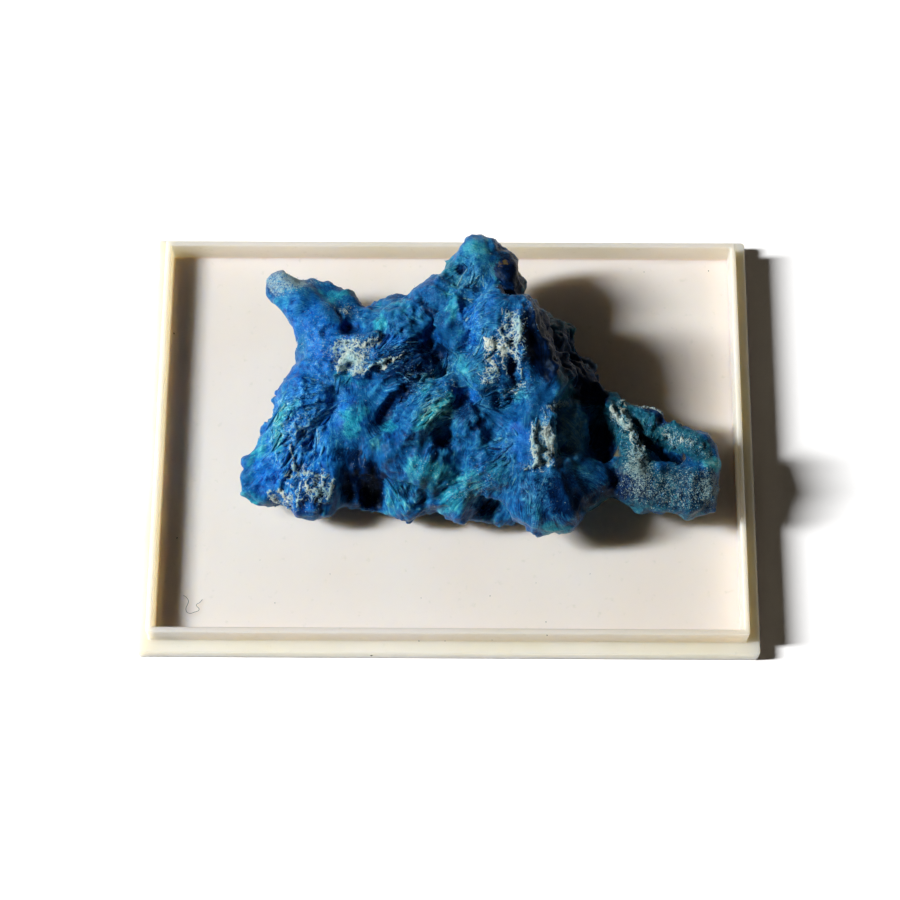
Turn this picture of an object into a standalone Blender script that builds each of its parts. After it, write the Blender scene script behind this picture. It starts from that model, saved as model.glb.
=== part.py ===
"""Chalcanthite specimen, a grown-together fibrous mass, resting in its specimen box's tray.

Metres, +Z up. The origin is under the middle of the tray, on the surface that it stands on.
+X runs along the tray's length and +Y to its back. Sizes below are in millimetres and degrees.
"""
import math
from collections import namedtuple

import bmesh
import bpy
import numpy as np
from mathutils import Euler, Matrix, Vector

MM = 0.001

# Tray: an injection-moulded box base, a thin wall standing on a wider ledge that the lid slides on to.
TRAY_LENGTH = 120.0
TRAY_DEPTH = 87.0
TRAY_HEIGHT = 9.1
LEDGE_WIDTH = 2.5
LEDGE_HEIGHT = 3.8
WALL_THICKNESS = 1.1
INSIDE_DEPTH = 5.8
FLOOR_THICKNESS = 1.5
SKIRT_WIDTH = 2.4
CORNER_RADIUS = 0.75
EDGE_ROUNDING = 0.25

# The upper face of the tray's floor, and the gap that the specimen keeps to it where it rests.
FLOOR_TOP = TRAY_HEIGHT - INSIDE_DEPTH
REST_GAP = 0.3

# Fineness of the specimen's solid.
FUSE_VOXEL = 0.55
ROUGHEN_DEPTH = 2.2
ROUGHEN_GRAIN = 5.5
FACET_SHARE = 0.0745

# A lump is an ellipsoid: its middle, its three radii, its turn about Z and its lean about its own long side.
Lump = namedtuple("Lump", "name x y z rx ry rz turn lean", defaults=(0.0, 0.0))
# A limb is a round bar that tapers from one point to another; flat squeezes it in height.
Limb = namedtuple("Limb", "name start end start_radius end_radius flat", defaults=(1.0,))
# A fan is a spray of fibre bundles that spread from a root to two ends; all three are plan positions.
Fan = namedtuple("Fan", "name root first last bundles rise")

LUMPS = (
    # the thick middle that everything grows from
    Lump("west core", -21.0, 0.0, 11.5, 14.0, 12.5, 7.0),
    Lump("middle core", -3.0, 4.0, 12.5, 19.0, 15.0, 8.0),
    Lump("east core", 14.0, 2.0, 13.5, 13.0, 14.0, 8.5),
    Lump("east limb core", 34.0, -6.5, 12.0, 14.0, 7.5, 5.0, -12.0),
    # west side, low and spreading
    Lump("west shoulder", -23.5, 12.0, 15.5, 6.6, 8.5, 7.0),
    Lump("sparkling slope", -24.5, 16.0, 16.5, 4.6, 5.0, 5.2),
    Lump("west face", -26.5, 4.0, 15.0, 7.2, 5.5, 7.0, 15.0),
    Lump("west brow", -28.8, -1.5, 13.5, 8.5, 4.8, 6.5, 18.0),
    Lump("west flank", -31.3, -7.0, 12.5, 8.2, 5.6, 5.6, 30.0),
    Lump("west foot", -33.0, -11.6, 11.0, 7.0, 4.6, 4.6, 12.0),
    Lump("crust foot", -25.5, -12.6, 12.0, 6.8, 5.0, 5.6),
    Lump("crust block", -16.5, 12.5, 18.0, 5.6, 5.6, 7.0, 10.0),
    Lump("crust ridge", -13.0, 9.5, 18.5, 6.5, 2.6, 6.4, 30.0),
    Lump("indigo hollow rim", -17.5, 2.0, 15.0, 5.5, 5.5, 6.6),
    Lump("cleft back", -14.5, -8.0, 8.5, 4.6, 6.0, 4.6),
    Lump("front wall", -20.0, -10.5, 11.5, 6.5, 6.0, 6.5),
    # middle
    Lump("centre", -9.0, 6.5, 18.0, 6.8, 5.6, 7.6, 35.0),
    Lump("centre back", -9.0, 16.5, 19.5, 6.4, 6.0, 7.0),
    Lump("notch fill", -15.4, 19.4, 16.5, 3.6, 3.4, 5.0),
    Lump("notch bump", -11.2, 21.8, 17.5, 3.6, 3.6, 4.6),
    Lump("bundle", -3.6, -0.8, 21.0, 8.6, 4.0, 7.0, 48.0),
    Lump("bundle foot", -11.0, -6.5, 16.5, 5.6, 4.4, 6.5, 35.0),
    Lump("middle front", 4.5, -3.0, 19.5, 6.0, 5.4, 6.6),
    Lump("front ridge", -4.0, -9.5, 16.5, 7.0, 5.6, 6.6),
    Lump("front foot", -8.2, -14.4, 10.5, 4.6, 4.6, 5.2),
    Lump("porous lump", 0.6, -14.4, 12.0, 5.8, 4.4, 5.4),
    Lump("skirt knob", 3.6, -16.6, 7.4, 2.2, 2.0, 2.4),
    Lump("skirt", 9.8, -15.2, 8.0, 4.2, 3.2, 3.6, 15.0),
    Lump("front middle", 9.0, -10.5, 16.5, 6.6, 5.6, 7.0),
    # the peak and the high shoulder
    Lump("peak slope", -3.0, 21.8, 19.5, 5.8, 5.0, 7.5, 40.0),
    Lump("slope rib", 1.5, 17.5, 22.5, 3.4, 9.0, 6.0, -20.0),
    Lump("peak", 5.4, 27.8, 20.5, 6.2, 6.2, 7.6),
    Lump("peak top", 5.0, 30.2, 24.0, 4.4, 4.0, 4.6),
    Lump("peak east", 10.5, 26.8, 21.5, 4.9, 5.8, 6.6, 25.0),
    Lump("shoulder", 9.8, 15.5, 26.0, 5.6, 8.8, 7.6, -6.0),
    Lump("shoulder low", 8.6, 6.0, 23.5, 6.4, 5.6, 7.6),
    Lump("crest", 14.6, 12.5, 25.0, 4.6, 10.0, 8.8, 14.0),
    Lump("crest low", 18.0, 4.5, 22.0, 6.4, 5.6, 7.6, 20.0),
    # the back side below the crest, in shadow
    Lump("back slope", 17.6, 15.0, 13.5, 6.0, 9.0, 8.0, 30.0),
    Lump("back slope low", 24.6, 8.0, 12.0, 5.6, 5.6, 6.6, 30.0),
    Lump("back knob", 20.5, 18.0, 12.0, 3.2, 3.2, 4.0),
    Lump("back knob low", 26.2, 12.2, 11.0, 3.0, 2.8, 4.0),
    # south side: the columns' body and the bulging front lobe
    Lump("column body", 14.6, -7.0, 18.0, 7.0, 8.6, 8.4, 12.0),
    Lump("front lobe", 18.6, -14.6, 16.5, 7.0, 7.4, 7.6),
    Lump("lobe nose", 19.8, -18.6, 16.4, 5.8, 4.8, 5.6),
    Lump("shaded face", 25.6, -12.6, 14.0, 6.2, 5.2, 6.6),
    # the east limb
    Lump("cavern back", 25.5, 5.0, 12.5, 7.0, 3.6, 6.0, -20.0),
    Lump("east lobe", 39.6, -13.6, 14.5, 7.6, 5.2, 5.6),
    Lump("east end", 46.8, -12.9, 15.0, 5.3, 6.3, 6.0),
    Lump("east tip", 49.0, -9.8, 16.5, 3.6, 4.6, 5.4),
    # what it stands on
    Lump("west base", -24.0, -1.0, 7.0, 8.0, 7.0, 5.0),
    Lump("south base", 12.0, -6.0, 7.5, 7.0, 5.5, 5.0),
    Lump("north base", 6.0, 17.0, 8.5, 7.5, 7.0, 6.0),
    Lump("east base", 33.0, -5.0, 7.5, 6.5, 5.0, 5.0),
    Lump("cavern floor", 26.0, -4.5, 6.8, 7.5, 6.5, 3.6),
)

LIMBS = (
    Limb("horn", (-33.0, 26.6, 19.0), (-22.0, 16.0, 17.0), 3.4, 6.0, 0.9),
    Limb("horn back", (-28.0, 25.4, 18.0), (-20.0, 24.2, 17.5), 3.0, 2.2, 1.0),
    Limb("horn flake", (-22.0, 24.0, 19.0), (-18.4, 23.4, 18.5), 1.8, 1.5, 1.0),
    Limb("west column", (16.0, 1.5, 26.5), (13.6, -10.5, 23.5), 1.6, 2.4),
    Limb("east column", (19.5, 0.5, 26.0), (17.2, -11.0, 24.0), 1.5, 2.2),
    Limb("inner ridge", (31.6, 4.0, 17.5), (35.8, -11.0, 18.0), 1.8, 2.8),
    Limb("outer ridge", (32.0, 2.5, 15.0), (48.0, -7.0, 19.0), 2.4, 3.0),
    Limb("outer ridge crest", (34.5, 1.6, 17.0), (43.0, -3.0, 19.0), 1.8, 2.0),
    Limb("left hem", (-18.0, -14.4, 9.0), (-12.0, -15.2, 8.0), 1.8, 1.6),
)

# Hollows cut into the mass.
PITS = (
    Lump("cavern", 28.8, -3.2, 21.5, 3.7, 6.3, 10.5, 6.0),
    Lump("cavern shelf", 24.6, -3.0, 25.5, 4.8, 6.2, 8.8, 6.0),
    Lump("cavern pocket", 29.6, -6.4, 16.0, 2.6, 3.0, 5.5),
    Lump("east hole", 39.6, -5.4, 20.0, 5.6, 2.8, 11.5, -38.0),
    Lump("ridge valley", 35.8, -0.4, 21.5, 4.2, 1.7, 5.0, -45.0),
    Lump("east hole end", 44.0, -8.4, 19.5, 2.2, 1.6, 8.0, -20.0),
    Lump("peak slot", 10.4, 23.4, 29.0, 3.2, 1.1, 5.5, -28.0),
    Lump("peak hole", 1.9, 27.4, 27.5, 1.3, 1.4, 4.5),
    Lump("slope slit", -4.2, 19.4, 27.0, 1.4, 3.6, 6.5, 38.0),
    Lump("shoulder slot", 12.0, 5.6, 31.5, 0.9, 3.0, 4.0, -8.0),
    Lump("shoulder hole", 12.0, 12.6, 34.0, 1.0, 1.2, 3.5),
    Lump("heart", -2.4, 11.6, 26.0, 2.6, 3.8, 5.5, -20.0),
    Lump("north pocket", -19.2, 17.8, 23.0, 2.4, 1.8, 3.4),
    Lump("bundle pit", 0.2, -5.6, 26.0, 1.3, 1.8, 6.0),
    Lump("bundle hole", 5.2, -0.8, 28.0, 2.1, 1.3, 5.6),
    Lump("arch", 7.4, -16.6, 12.5, 3.2, 3.0, 3.4),
    Lump("underside hollow", -12.0, 2.0, 4.0, 9.0, 8.0, 4.0),
    Lump("underside hollow east", 22.0, 5.0, 4.0, 8.0, 7.0, 4.0),
)
CLEFTS = (
    Limb("black cleft", (-14.4, -9.0, 20.5), (-14.2, -14.6, 11.0), 1.8, 2.4),
    Limb("blue cleft", (-18.8, -8.4, 20.6), (-18.6, -15.6, 14.5), 2.0, 2.6),
    Limb("long groove", (-9.5, 2.2, 25.0), (-18.0, -5.5, 20.5), 1.7, 2.2),
    Limb("west crack", (-34.5, 0.6, 20.5), (-26.0, 3.4, 21.5), 0.8, 0.9),
)

FANS = (
    Fan("west sweep", (-15.0, 7.5), (-33.0, 11.5), (-36.5, -5.0), 7, 1.5),
    Fan("foot spray", (-19.0, -1.0), (-41.0, -10.5), (-20.0, -18.0), 9, 1.4),
    Fan("north blades", (-3.0, 11.0), (-20.0, 17.5), (-17.5, 6.0), 5, 1.5),
    Fan("heart blades", (-1.0, 10.5), (-15.0, 4.5), (-5.0, -3.5), 5, 2.0),
    Fan("turquoise bundle", (2.5, 4.0), (-14.0, -8.5), (-3.5, -13.5), 5, 1.8),
    Fan("slope blades", (5.0, 27.0), (-11.0, 15.5), (3.5, 5.0), 7, 1.5),
    Fan("shoulder blades", (-1.5, 13.0), (4.0, -4.5), (14.5, -1.5), 6, 1.7),
    Fan("front spray", (7.0, -1.0), (-5.5, -17.5), (16.5, -19.5), 9, 1.5),
    Fan("crest blades", (13.0, 24.0), (14.0, 1.0), (26.0, 5.0), 5, 1.2),
    Fan("back blades", (11.0, 13.0), (24.0, 22.0), (30.0, 4.0), 6, 1.5),
    Fan("lobe ribs", (15.0, -3.0), (12.5, -20.5), (24.0, -20.0), 6, 1.1),
    Fan("east ribs", (47.5, -7.0), (33.0, -18.5), (53.0, -19.0), 6, 0.9),
)


def collection(name):
    """A collection of this name, linked to the scene."""
    made = bpy.data.collections.new(name)
    bpy.context.scene.collection.children.link(made)
    return made


def finish(name, color, roughness, metallic=0.0, translucency=0.0):
    """A plain Principled material."""
    material = bpy.data.materials.new(name)
    material.use_nodes = True
    shader = material.node_tree.nodes["Principled BSDF"]
    shader.inputs["Base Color"].default_value = (*color, 1.0)
    shader.inputs["Roughness"].default_value = roughness
    shader.inputs["Metallic"].default_value = metallic
    shader.inputs["Subsurface Weight"].default_value = translucency
    return material


def object_from(shape, name, home, material=None):
    """An object made from a bmesh, in the given collection."""
    mesh = bpy.data.meshes.new(name)
    shape.to_mesh(mesh)
    shape.free()
    thing = bpy.data.objects.new(name, mesh)
    home.objects.link(thing)
    if material:
        mesh.materials.append(material)
    return thing


def cutter(thing):
    """Marks an object as a cutter, which isn't part of the model."""
    thing.hide_render = True
    thing.display_type = "WIRE"
    return thing


def boolean(thing, operation, tool):
    """Adds a Boolean modifier with the exact solver."""
    modifier = thing.modifiers.new(operation.title(), "BOOLEAN")
    modifier.operation = operation
    modifier.solver = "EXACT"
    modifier.object = tool
    return modifier


# The tray

def block(length, depth, bottom, top, corner=0.0):
    """A box standing centred on the origin's Z axis, its upright edges rounded."""
    shape = bmesh.new()
    bmesh.ops.create_cube(shape, size=1.0)
    bmesh.ops.scale(shape, vec=(length * MM, depth * MM, (top - bottom) * MM), verts=shape.verts)
    bmesh.ops.translate(shape, vec=(0, 0, (top + bottom) / 2 * MM), verts=shape.verts)
    if corner:
        upright = [e for e in shape.edges if abs(e.verts[0].co.z - e.verts[1].co.z) > 0.5 * (top - bottom) * MM]
        bmesh.ops.bevel(shape, geom=upright, offset=corner * MM, segments=4, profile=0.5, affect="EDGES")
    return shape


def build_tray(home, tools):
    """The ledge and the wall as one moulding, hollowed from above and, under the floor, from below."""
    cream = finish("cream polystyrene", (0.90, 0.84, 0.72), 0.35)
    wall_length = TRAY_LENGTH - 2 * LEDGE_WIDTH
    wall_depth = TRAY_DEPTH - 2 * LEDGE_WIDTH
    over = 1.0
    tray = object_from(block(TRAY_LENGTH, TRAY_DEPTH, 0.0, LEDGE_HEIGHT, CORNER_RADIUS), "tray", home, cream)
    wall = block(wall_length, wall_depth, LEDGE_HEIGHT / 2, TRAY_HEIGHT, CORNER_RADIUS * 0.6)
    boolean(tray, "UNION", cutter(object_from(wall, "tray wall block", tools)))
    inside = block(wall_length - 2 * WALL_THICKNESS, wall_depth - 2 * WALL_THICKNESS,
                   FLOOR_TOP, TRAY_HEIGHT + over)
    boolean(tray, "DIFFERENCE", cutter(object_from(inside, "tray inside", tools)))
    below = block(TRAY_LENGTH - 2 * SKIRT_WIDTH, TRAY_DEPTH - 2 * SKIRT_WIDTH,
                  -over, FLOOR_TOP - FLOOR_THICKNESS)
    boolean(tray, "DIFFERENCE", cutter(object_from(below, "tray underside", tools)))
    rounding = tray.modifiers.new("Rounded edges", "BEVEL")
    rounding.width = EDGE_ROUNDING * MM
    rounding.segments = 2
    rounding.limit_method = "ANGLE"
    rounding.angle_limit = math.radians(40)
    return tray


# The specimen

def placed(x, y, z, turn=0.0, lean=0.0):
    """A matrix that leans about Y, turns about Z and then moves, in millimetres and degrees."""
    spin = Euler((0.0, math.radians(lean), math.radians(turn))).to_matrix().to_4x4()
    return Matrix.Translation(Vector((x, y, z)) * MM) @ spin


def add_lump(shape, lump):
    """Adds one ellipsoid."""
    size = Matrix.Diagonal((lump.rx * MM, lump.ry * MM, lump.rz * MM, 1.0))
    bmesh.ops.create_icosphere(shape, subdivisions=3, radius=1.0,
                               matrix=placed(lump.x, lump.y, lump.z, lump.turn, lump.lean) @ size)


def add_limb(shape, limb):
    """Adds a tapering row of balls, close enough to fuse into a bar."""
    start = Vector(limb.start)
    end = Vector(limb.end)
    step = 0.4 * min(limb.start_radius, limb.end_radius)
    count = max(2, round((end - start).length / step))
    for i in range(count + 1):
        share = i / count
        centre = start.lerp(end, share)
        radius = limb.start_radius + (limb.end_radius - limb.start_radius) * share
        size = Matrix.Diagonal((radius * MM, radius * MM, radius * limb.flat * MM, 1.0))
        bmesh.ops.create_icosphere(shape, subdivisions=2, radius=1.0, matrix=placed(*centre) @ size)


def smooth_step(low, high, value):
    """0 below low, 1 above high and an S-curve between; low above high turns it round."""
    share = np.clip((value - low) / (high - low), 0.0, 1.0)
    return share * share * (3.0 - 2.0 * share)


def fan_height(points, fan, chance):
    """How far, in mm, one fan lifts each point: a saw of ridges in the angle round the fan's root.

    The ridges fade out at the fan's two sides, near its root and past its reach, and each bundle
    has a height of its own, so their ends step.
    """
    offset = points[:, :2] - np.array(fan.root)
    first = np.array(fan.first) - np.array(fan.root)
    last = np.array(fan.last) - np.array(fan.root)
    distance = np.hypot(offset[:, 0], offset[:, 1])
    reach = max(math.hypot(*first), math.hypot(*last))
    start = math.atan2(first[1], first[0])
    opening = (math.atan2(last[1], last[0]) - start + math.pi) % (2 * math.pi) - math.pi
    turn = (np.arctan2(offset[:, 1], offset[:, 0]) - start + math.pi) % (2 * math.pi) - math.pi
    share = turn / opening + 0.02 * np.sin(distance * 0.55 + start * 9.0)
    inside = smooth_step(-0.08, 0.05, share) * smooth_step(1.08, 0.95, share)
    inside = inside * smooth_step(0.05, 0.3, distance / reach) * smooth_step(1.15, 0.9, distance / reach)
    widths = chance.uniform(0.55, 1.5, fan.bundles)
    edges = np.concatenate([[0.0], np.cumsum(widths) / widths.sum()])
    bundle = np.clip(np.searchsorted(edges, share) - 1, 0, fan.bundles - 1)
    across = (share - edges[bundle]) / (edges[bundle + 1] - edges[bundle])
    level = chance.uniform(-0.5, 0.5, fan.bundles)[bundle]
    ridge = 1.0 - np.abs(2.0 * np.clip(across, 0.0, 1.0) - 1.0) * 1.6
    return inside * fan.rise * (0.5 * ridge + level)


def comb(mesh, chance):
    """Moves the skin's vertices along their normals by the fans' ridges."""
    count = len(mesh.vertices)
    points = np.empty(count * 3)
    normals = np.empty(count * 3)
    mesh.vertices.foreach_get("co", points)
    mesh.vertices.foreach_get("normal", normals)
    points = points.reshape(-1, 3)
    height = np.zeros(count)
    for fan in FANS:
        height = height + fan_height(points / MM, fan, chance)
    limit = 0.75 * max(fan.rise for fan in FANS)
    height = np.clip(height, -limit, limit)
    points = points + normals.reshape(-1, 3) * (height * MM)[:, None]
    mesh.vertices.foreach_set("co", points.ravel())
    mesh.update()


def fuse(thing, voxel):
    """Adds a remesh that melts overlapping bodies into one skin."""
    remesh = thing.modifiers.new("Fuse", "REMESH")
    remesh.mode = "VOXEL"
    remesh.voxel_size = voxel * MM


def roughen(thing, name, kind, grain, depth):
    """Adds a displacement by a procedural texture whose features are grain mm wide."""
    texture = bpy.data.textures.new(name, kind)
    texture.noise_scale = grain * MM
    displace = thing.modifiers.new(name, "DISPLACE")
    displace.texture = texture
    displace.strength = depth * MM
    displace.mid_level = 0.5


def apply_modifiers(thing):
    """Replaces an object's mesh by what its modifiers make of it."""
    view = bpy.context.evaluated_depsgraph_get()
    mesh = bpy.data.meshes.new_from_object(thing.evaluated_get(view))
    thing.modifiers.clear()
    thing.data = mesh


def build_specimen(home, tools):
    """Lumps and limbs fused into one skin, hollowed, roughened, combed and brought down to facets."""
    blue = finish("chalcanthite", (0.015, 0.12, 0.42), 0.45, translucency=0.3)
    shape = bmesh.new()
    for lump in LUMPS:
        add_lump(shape, lump)
    for limb in LIMBS:
        add_limb(shape, limb)
    specimen = object_from(shape, "chalcanthite", home, blue)
    fuse(specimen, FUSE_VOXEL)

    hollows = bmesh.new()
    for pit in PITS:
        add_lump(hollows, pit)
    for cleft in CLEFTS:
        add_limb(hollows, cleft)
    hollow = object_from(hollows, "hollows", tools)
    fuse(hollow, FUSE_VOXEL * 0.6)
    boolean(specimen, "DIFFERENCE", cutter(hollow))
    fuse(specimen, FUSE_VOXEL)
    roughen(specimen, "lumpy growth", "CLOUDS", ROUGHEN_GRAIN, ROUGHEN_DEPTH)
    roughen(specimen, "crystal grain", "VORONOI", ROUGHEN_GRAIN * 0.5, ROUGHEN_DEPTH * 0.5)
    fuse(specimen, FUSE_VOXEL)
    apply_modifiers(specimen)
    comb(specimen.data, np.random.default_rng(7))

    fuse(specimen, FUSE_VOXEL)
    facets = specimen.modifiers.new("Facets", "DECIMATE")
    facets.ratio = FACET_SHARE
    under = block(TRAY_LENGTH, TRAY_DEPTH, FLOOR_TOP - 20.0, FLOOR_TOP + REST_GAP)
    boolean(specimen, "DIFFERENCE", cutter(object_from(under, "rest cut", tools)))
    return specimen


def main():
    for old in list(bpy.data.objects):
        bpy.data.objects.remove(old, do_unlink=True)
    home = collection("chalcanthite specimen")
    tools = collection("cutters")
    build_tray(home, tools)
    build_specimen(home, tools)


main()
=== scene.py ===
"""Looks of a chalcanthite specimen that rests in the tray of its specimen box.

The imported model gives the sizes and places. A finer skin grows on the specimen's solid: bundles,
fibres, pits and crust are worked out on its vertices, and blades, crystal grains and dust are added
as joined meshes. Lengths are in millimetres until they reach a mesh, and pixels are those of the
900 by 900 photograph.
"""
import math
from collections import namedtuple

import bmesh
import bpy
import numpy as np
from bpy.props import FloatProperty, FloatVectorProperty, IntProperty, PointerProperty
from mathutils import Euler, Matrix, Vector
from mathutils.bvhtree import BVHTree


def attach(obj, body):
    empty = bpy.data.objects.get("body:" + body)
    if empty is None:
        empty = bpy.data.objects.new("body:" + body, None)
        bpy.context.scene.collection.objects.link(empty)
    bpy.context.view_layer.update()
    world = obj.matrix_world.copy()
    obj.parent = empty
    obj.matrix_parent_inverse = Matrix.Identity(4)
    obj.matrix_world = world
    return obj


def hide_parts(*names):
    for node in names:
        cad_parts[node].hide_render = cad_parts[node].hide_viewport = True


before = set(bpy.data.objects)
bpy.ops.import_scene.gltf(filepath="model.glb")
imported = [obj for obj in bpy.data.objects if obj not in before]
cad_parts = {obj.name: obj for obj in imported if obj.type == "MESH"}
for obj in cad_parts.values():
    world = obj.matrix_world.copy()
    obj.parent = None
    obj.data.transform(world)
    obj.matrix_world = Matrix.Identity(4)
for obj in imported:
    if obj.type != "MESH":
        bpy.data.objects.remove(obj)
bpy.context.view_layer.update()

bl_info = {
    "name": "Chalcanthite specimen",
    "version": (1, 0, 0),
    "blender": (4, 5, 0),
    "location": "3D View > Sidebar > Specimen",
    "description": "Grows the skin, fibres and crust of a chalcanthite specimen and dresses its tray",
    "category": "Object",
}

MM = 0.001

# The photograph's camera, fitted to the tray's corners.
PHOTO_SIDE = 900.0
SENSOR = 36.0
CAMERA_LENS = 94.69
CAMERA_PLACE = (3.542, -164.031, 443.272)
CAMERA_TURN = (20.2523, 0.2907, 0.3973)
SKIN_MIDDLE = (470.0, 410.0)

# The tray's floor, from its solid: the upper face inside the wall.
FLOOR_TOP = 3.3
REST_GAP = 0.3

# A root is a point, a depth below the skin at a pixel, that needles spread from in all directions.
Root = namedtuple("Root", "name u v depth weight", defaults=(1.0,))
# A hidden root is placed in the row frame, where no pixel shows it.
HiddenRoot = namedtuple("HiddenRoot", "name x y z weight", defaults=(1.0,))
# A patch is an ellipse on the skin, seen at a pixel: its half sizes and turn are in pixels and degrees.
Patch = namedtuple("Patch", "name u v half_u half_v turn amount", defaults=(0.0, 1.0))
# A stroke is a line on the skin between two pixels.
Stroke = namedtuple("Stroke", "name u0 v0 u1 v1 width amount", defaults=(1.0,))


def rows(kind, *values):
    """Each row of values as a root, a patch or a stroke."""
    return [kind(*row) for row in values]


ROOTS = rows(
    Root,
    ("heart", 446, 351, 3.0, 1.1),
    ("west sweep", 358, 372, 4.0, 1.3),
    ("foot spray", 338, 402, 8.0, 0.7),
    ("turquoise bundle", 464, 386, 3),
    ("peak", 483, 262, 6),
    ("shoulder", 521, 297, 4),
    ("streak saddle", 478, 414, 3.0, 0.8),
    ("columns", 545, 398, 3.0, 0.8),
    ("front fan", 524, 450, 4),
    ("front lobe", 552, 468, 6.0, 0.9),
    ("shaded face", 578, 462, 6.0, 0.7),
    ("inner ridge", 611, 398, 3.0, 0.8),
    ("outer ridge", 634, 398, 3.0, 0.7),
    ("end lobe", 683, 486, 9),
    ("horn", 338, 318, 5),
    ("sparkling slope", 312, 352, 8.0, 0.7),
    ("crust block", 362, 352, 8.0, 0.6),
    ("back slope", 568, 350, 6.0, 0.9),
    ("north bumps", 395, 318, 6.0, 0.7),
)
HIDDEN_ROOTS = rows(
    HiddenRoot,
    ("north base", 0.0, 22.0, 8),
    ("west base", -22.0, 4.0, 6),
    ("south base", 18.0, -8.0, 6),
    ("east base", 38.0, -9.0, 7),
)

# Where bundles of needles show their sides.
FIBROUS = rows(
    Patch,
    ("west face", 308, 406, 44, 24, -22),
    ("west face, low", 296, 452, 34, 40, 10, 0.7),
    ("below the horn", 330, 378, 26, 12, -10, 0.6),
    ("heart's west side", 392, 350, 36, 20, -10, 0.9),
    ("V blades", 424, 374, 26, 30, 30),
    ("bundle", 436, 411, 26, 15, -38, 0.9),
    ("diagonal blades", 470, 372, 20, 28, -40),
    ("heart's east side", 472, 340, 20, 34, 0, 0.6),
    ("peak's slopes", 470, 290, 32, 40, 0, 0.6),
    ("north bumps", 396, 318, 34, 20, 0, 0.4),
    ("streak saddle", 506, 396, 44, 14, -25, 0.9),
    ("front fan", 482, 484, 48, 28, -28, 0.3),
    ("front fan's root", 510, 446, 26, 22, 0, 0.8),
    ("lobes", 420, 466, 28, 22, 0, 0.1),
    ("hem", 400, 500, 22, 20, 0, 0.5),
    ("columns", 548, 438, 20, 32, 0, 0.7),
    ("front lobe", 545, 500, 24, 30, 0, 0.4),
    ("ridges", 634, 434, 20, 40, -25, 0.5),
    ("outer ridge", 672, 436, 40, 12, 25, 0.5),
)
# Where the skin is glassy or rounded and no bundle stands out.
GLASSY = rows(
    Patch,
    ("horn", 290, 293, 36, 24, 10, 1.3),
    ("horn's slope", 326, 306, 26, 16, 25, 0.4),
    ("sparkling slope", 316, 346, 20, 30, -10, 0.2),
    ("hollow by the crust", 354, 330, 16, 10, 10, 1.2),
    ("crust block", 352, 353, 20, 18, 0, 0.8),
    ("blue cleft", 351, 482, 14, 28, 0, 1.2),
    ("black cleft", 373, 489, 13, 28, 0, 1.2),
    ("smooth face", 540, 342, 16, 38, -14, 1.3),
    ("shaded face", 582, 490, 28, 24),
    ("front lobe", 552, 512, 30, 22, 0, 0.6),
    ("end lobe", 686, 490, 48, 30, 0, 0.7),
    ("column body", 522, 438, 10, 26, 0, 0.8),
)
# Where the skin is spongy: hollows and lumps a few millimetres wide.
SPONGY = rows(
    Patch,
    ("shoulder", 506, 345, 22, 44, 0, 0.5),
    ("middle", 446, 452, 70, 34, 0, 0.35),
    ("hem", 420, 496, 46, 18, 0, 0.4),
    ("back slope", 584, 362, 26, 54, -38, 0.9),
    ("ridges", 652, 432, 50, 36, 20, 0.4),
    ("north bumps", 396, 314, 36, 20, 0, 0.8),
    ("foot's crust", 300, 488, 36, 22, 0, 0.5),
    ("horn", 298, 298, 34, 24, 0, -0.2),
    ("sparkling slope", 318, 346, 22, 34, -10, 0.6),
    ("west low", 282, 452, 30, 34, 10, 0.2),
)
# Where the blue is painted dull, dark and greenish: partly the crystal's own colour, partly painted shade
# on the back slope, the ridges and other faces turned from the light.
TEAL_AND_PAINTED_SHADE = rows(
    Patch,
    ("end lobe, west", 630, 480, 24, 36, 0, 1.2),
    ("middle", 452, 452, 84, 46, 0, 0.45),
    ("peak", 484, 272, 40, 44, 0, 0.45),
    ("heart's west side", 400, 366, 44, 30, 0, 0.4),
    ("end lobe", 684, 490, 50, 32, 0, 1.1),
    ("outer ridge", 680, 438, 36, 14, 28, 2.3),
    ("inner ridge", 626, 428, 18, 40, -25, 2.4),
    ("between the ridges", 650, 420, 16, 30, -30, 1.2),
    ("back slope", 580, 362, 28, 54, -38, 1.9),
    ("smooth face", 542, 345, 12, 36, -14, 0.7),
    ("back slope's top", 556, 326, 14, 22, -40, 0.7),
    ("peak's east slope", 512, 275, 16, 24, -40, 1.4),
    ("cavern", 598, 432, 14, 34, 0, 0.8),
    ("cavern's rim", 566, 400, 22, 10, -20, 0.8),
    ("shaded face", 590, 490, 22, 20, 0, 0.6),
    ("lobe's hem", 605, 506, 28, 10, -10, 0.9),
    ("lobes' hem", 420, 492, 26, 16, 0, 0.6),
    ("front fan", 482, 492, 38, 14, -25, 0.5),
    ("heart's east side", 474, 356, 14, 20, 0, 0.4),
    ("bundle's underside", 428, 436, 26, 8, -35, 0.3),
    ("west lobe's foot", 376, 440, 18, 12, 0, 0.5),
    ("V blades", 424, 372, 22, 22, 20, 0.4),
    ("slope by the peak", 448, 268, 10, 22, -35, 0.5),
    ("horn's underside", 286, 312, 8, 18, -10, 0.3),
)
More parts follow.
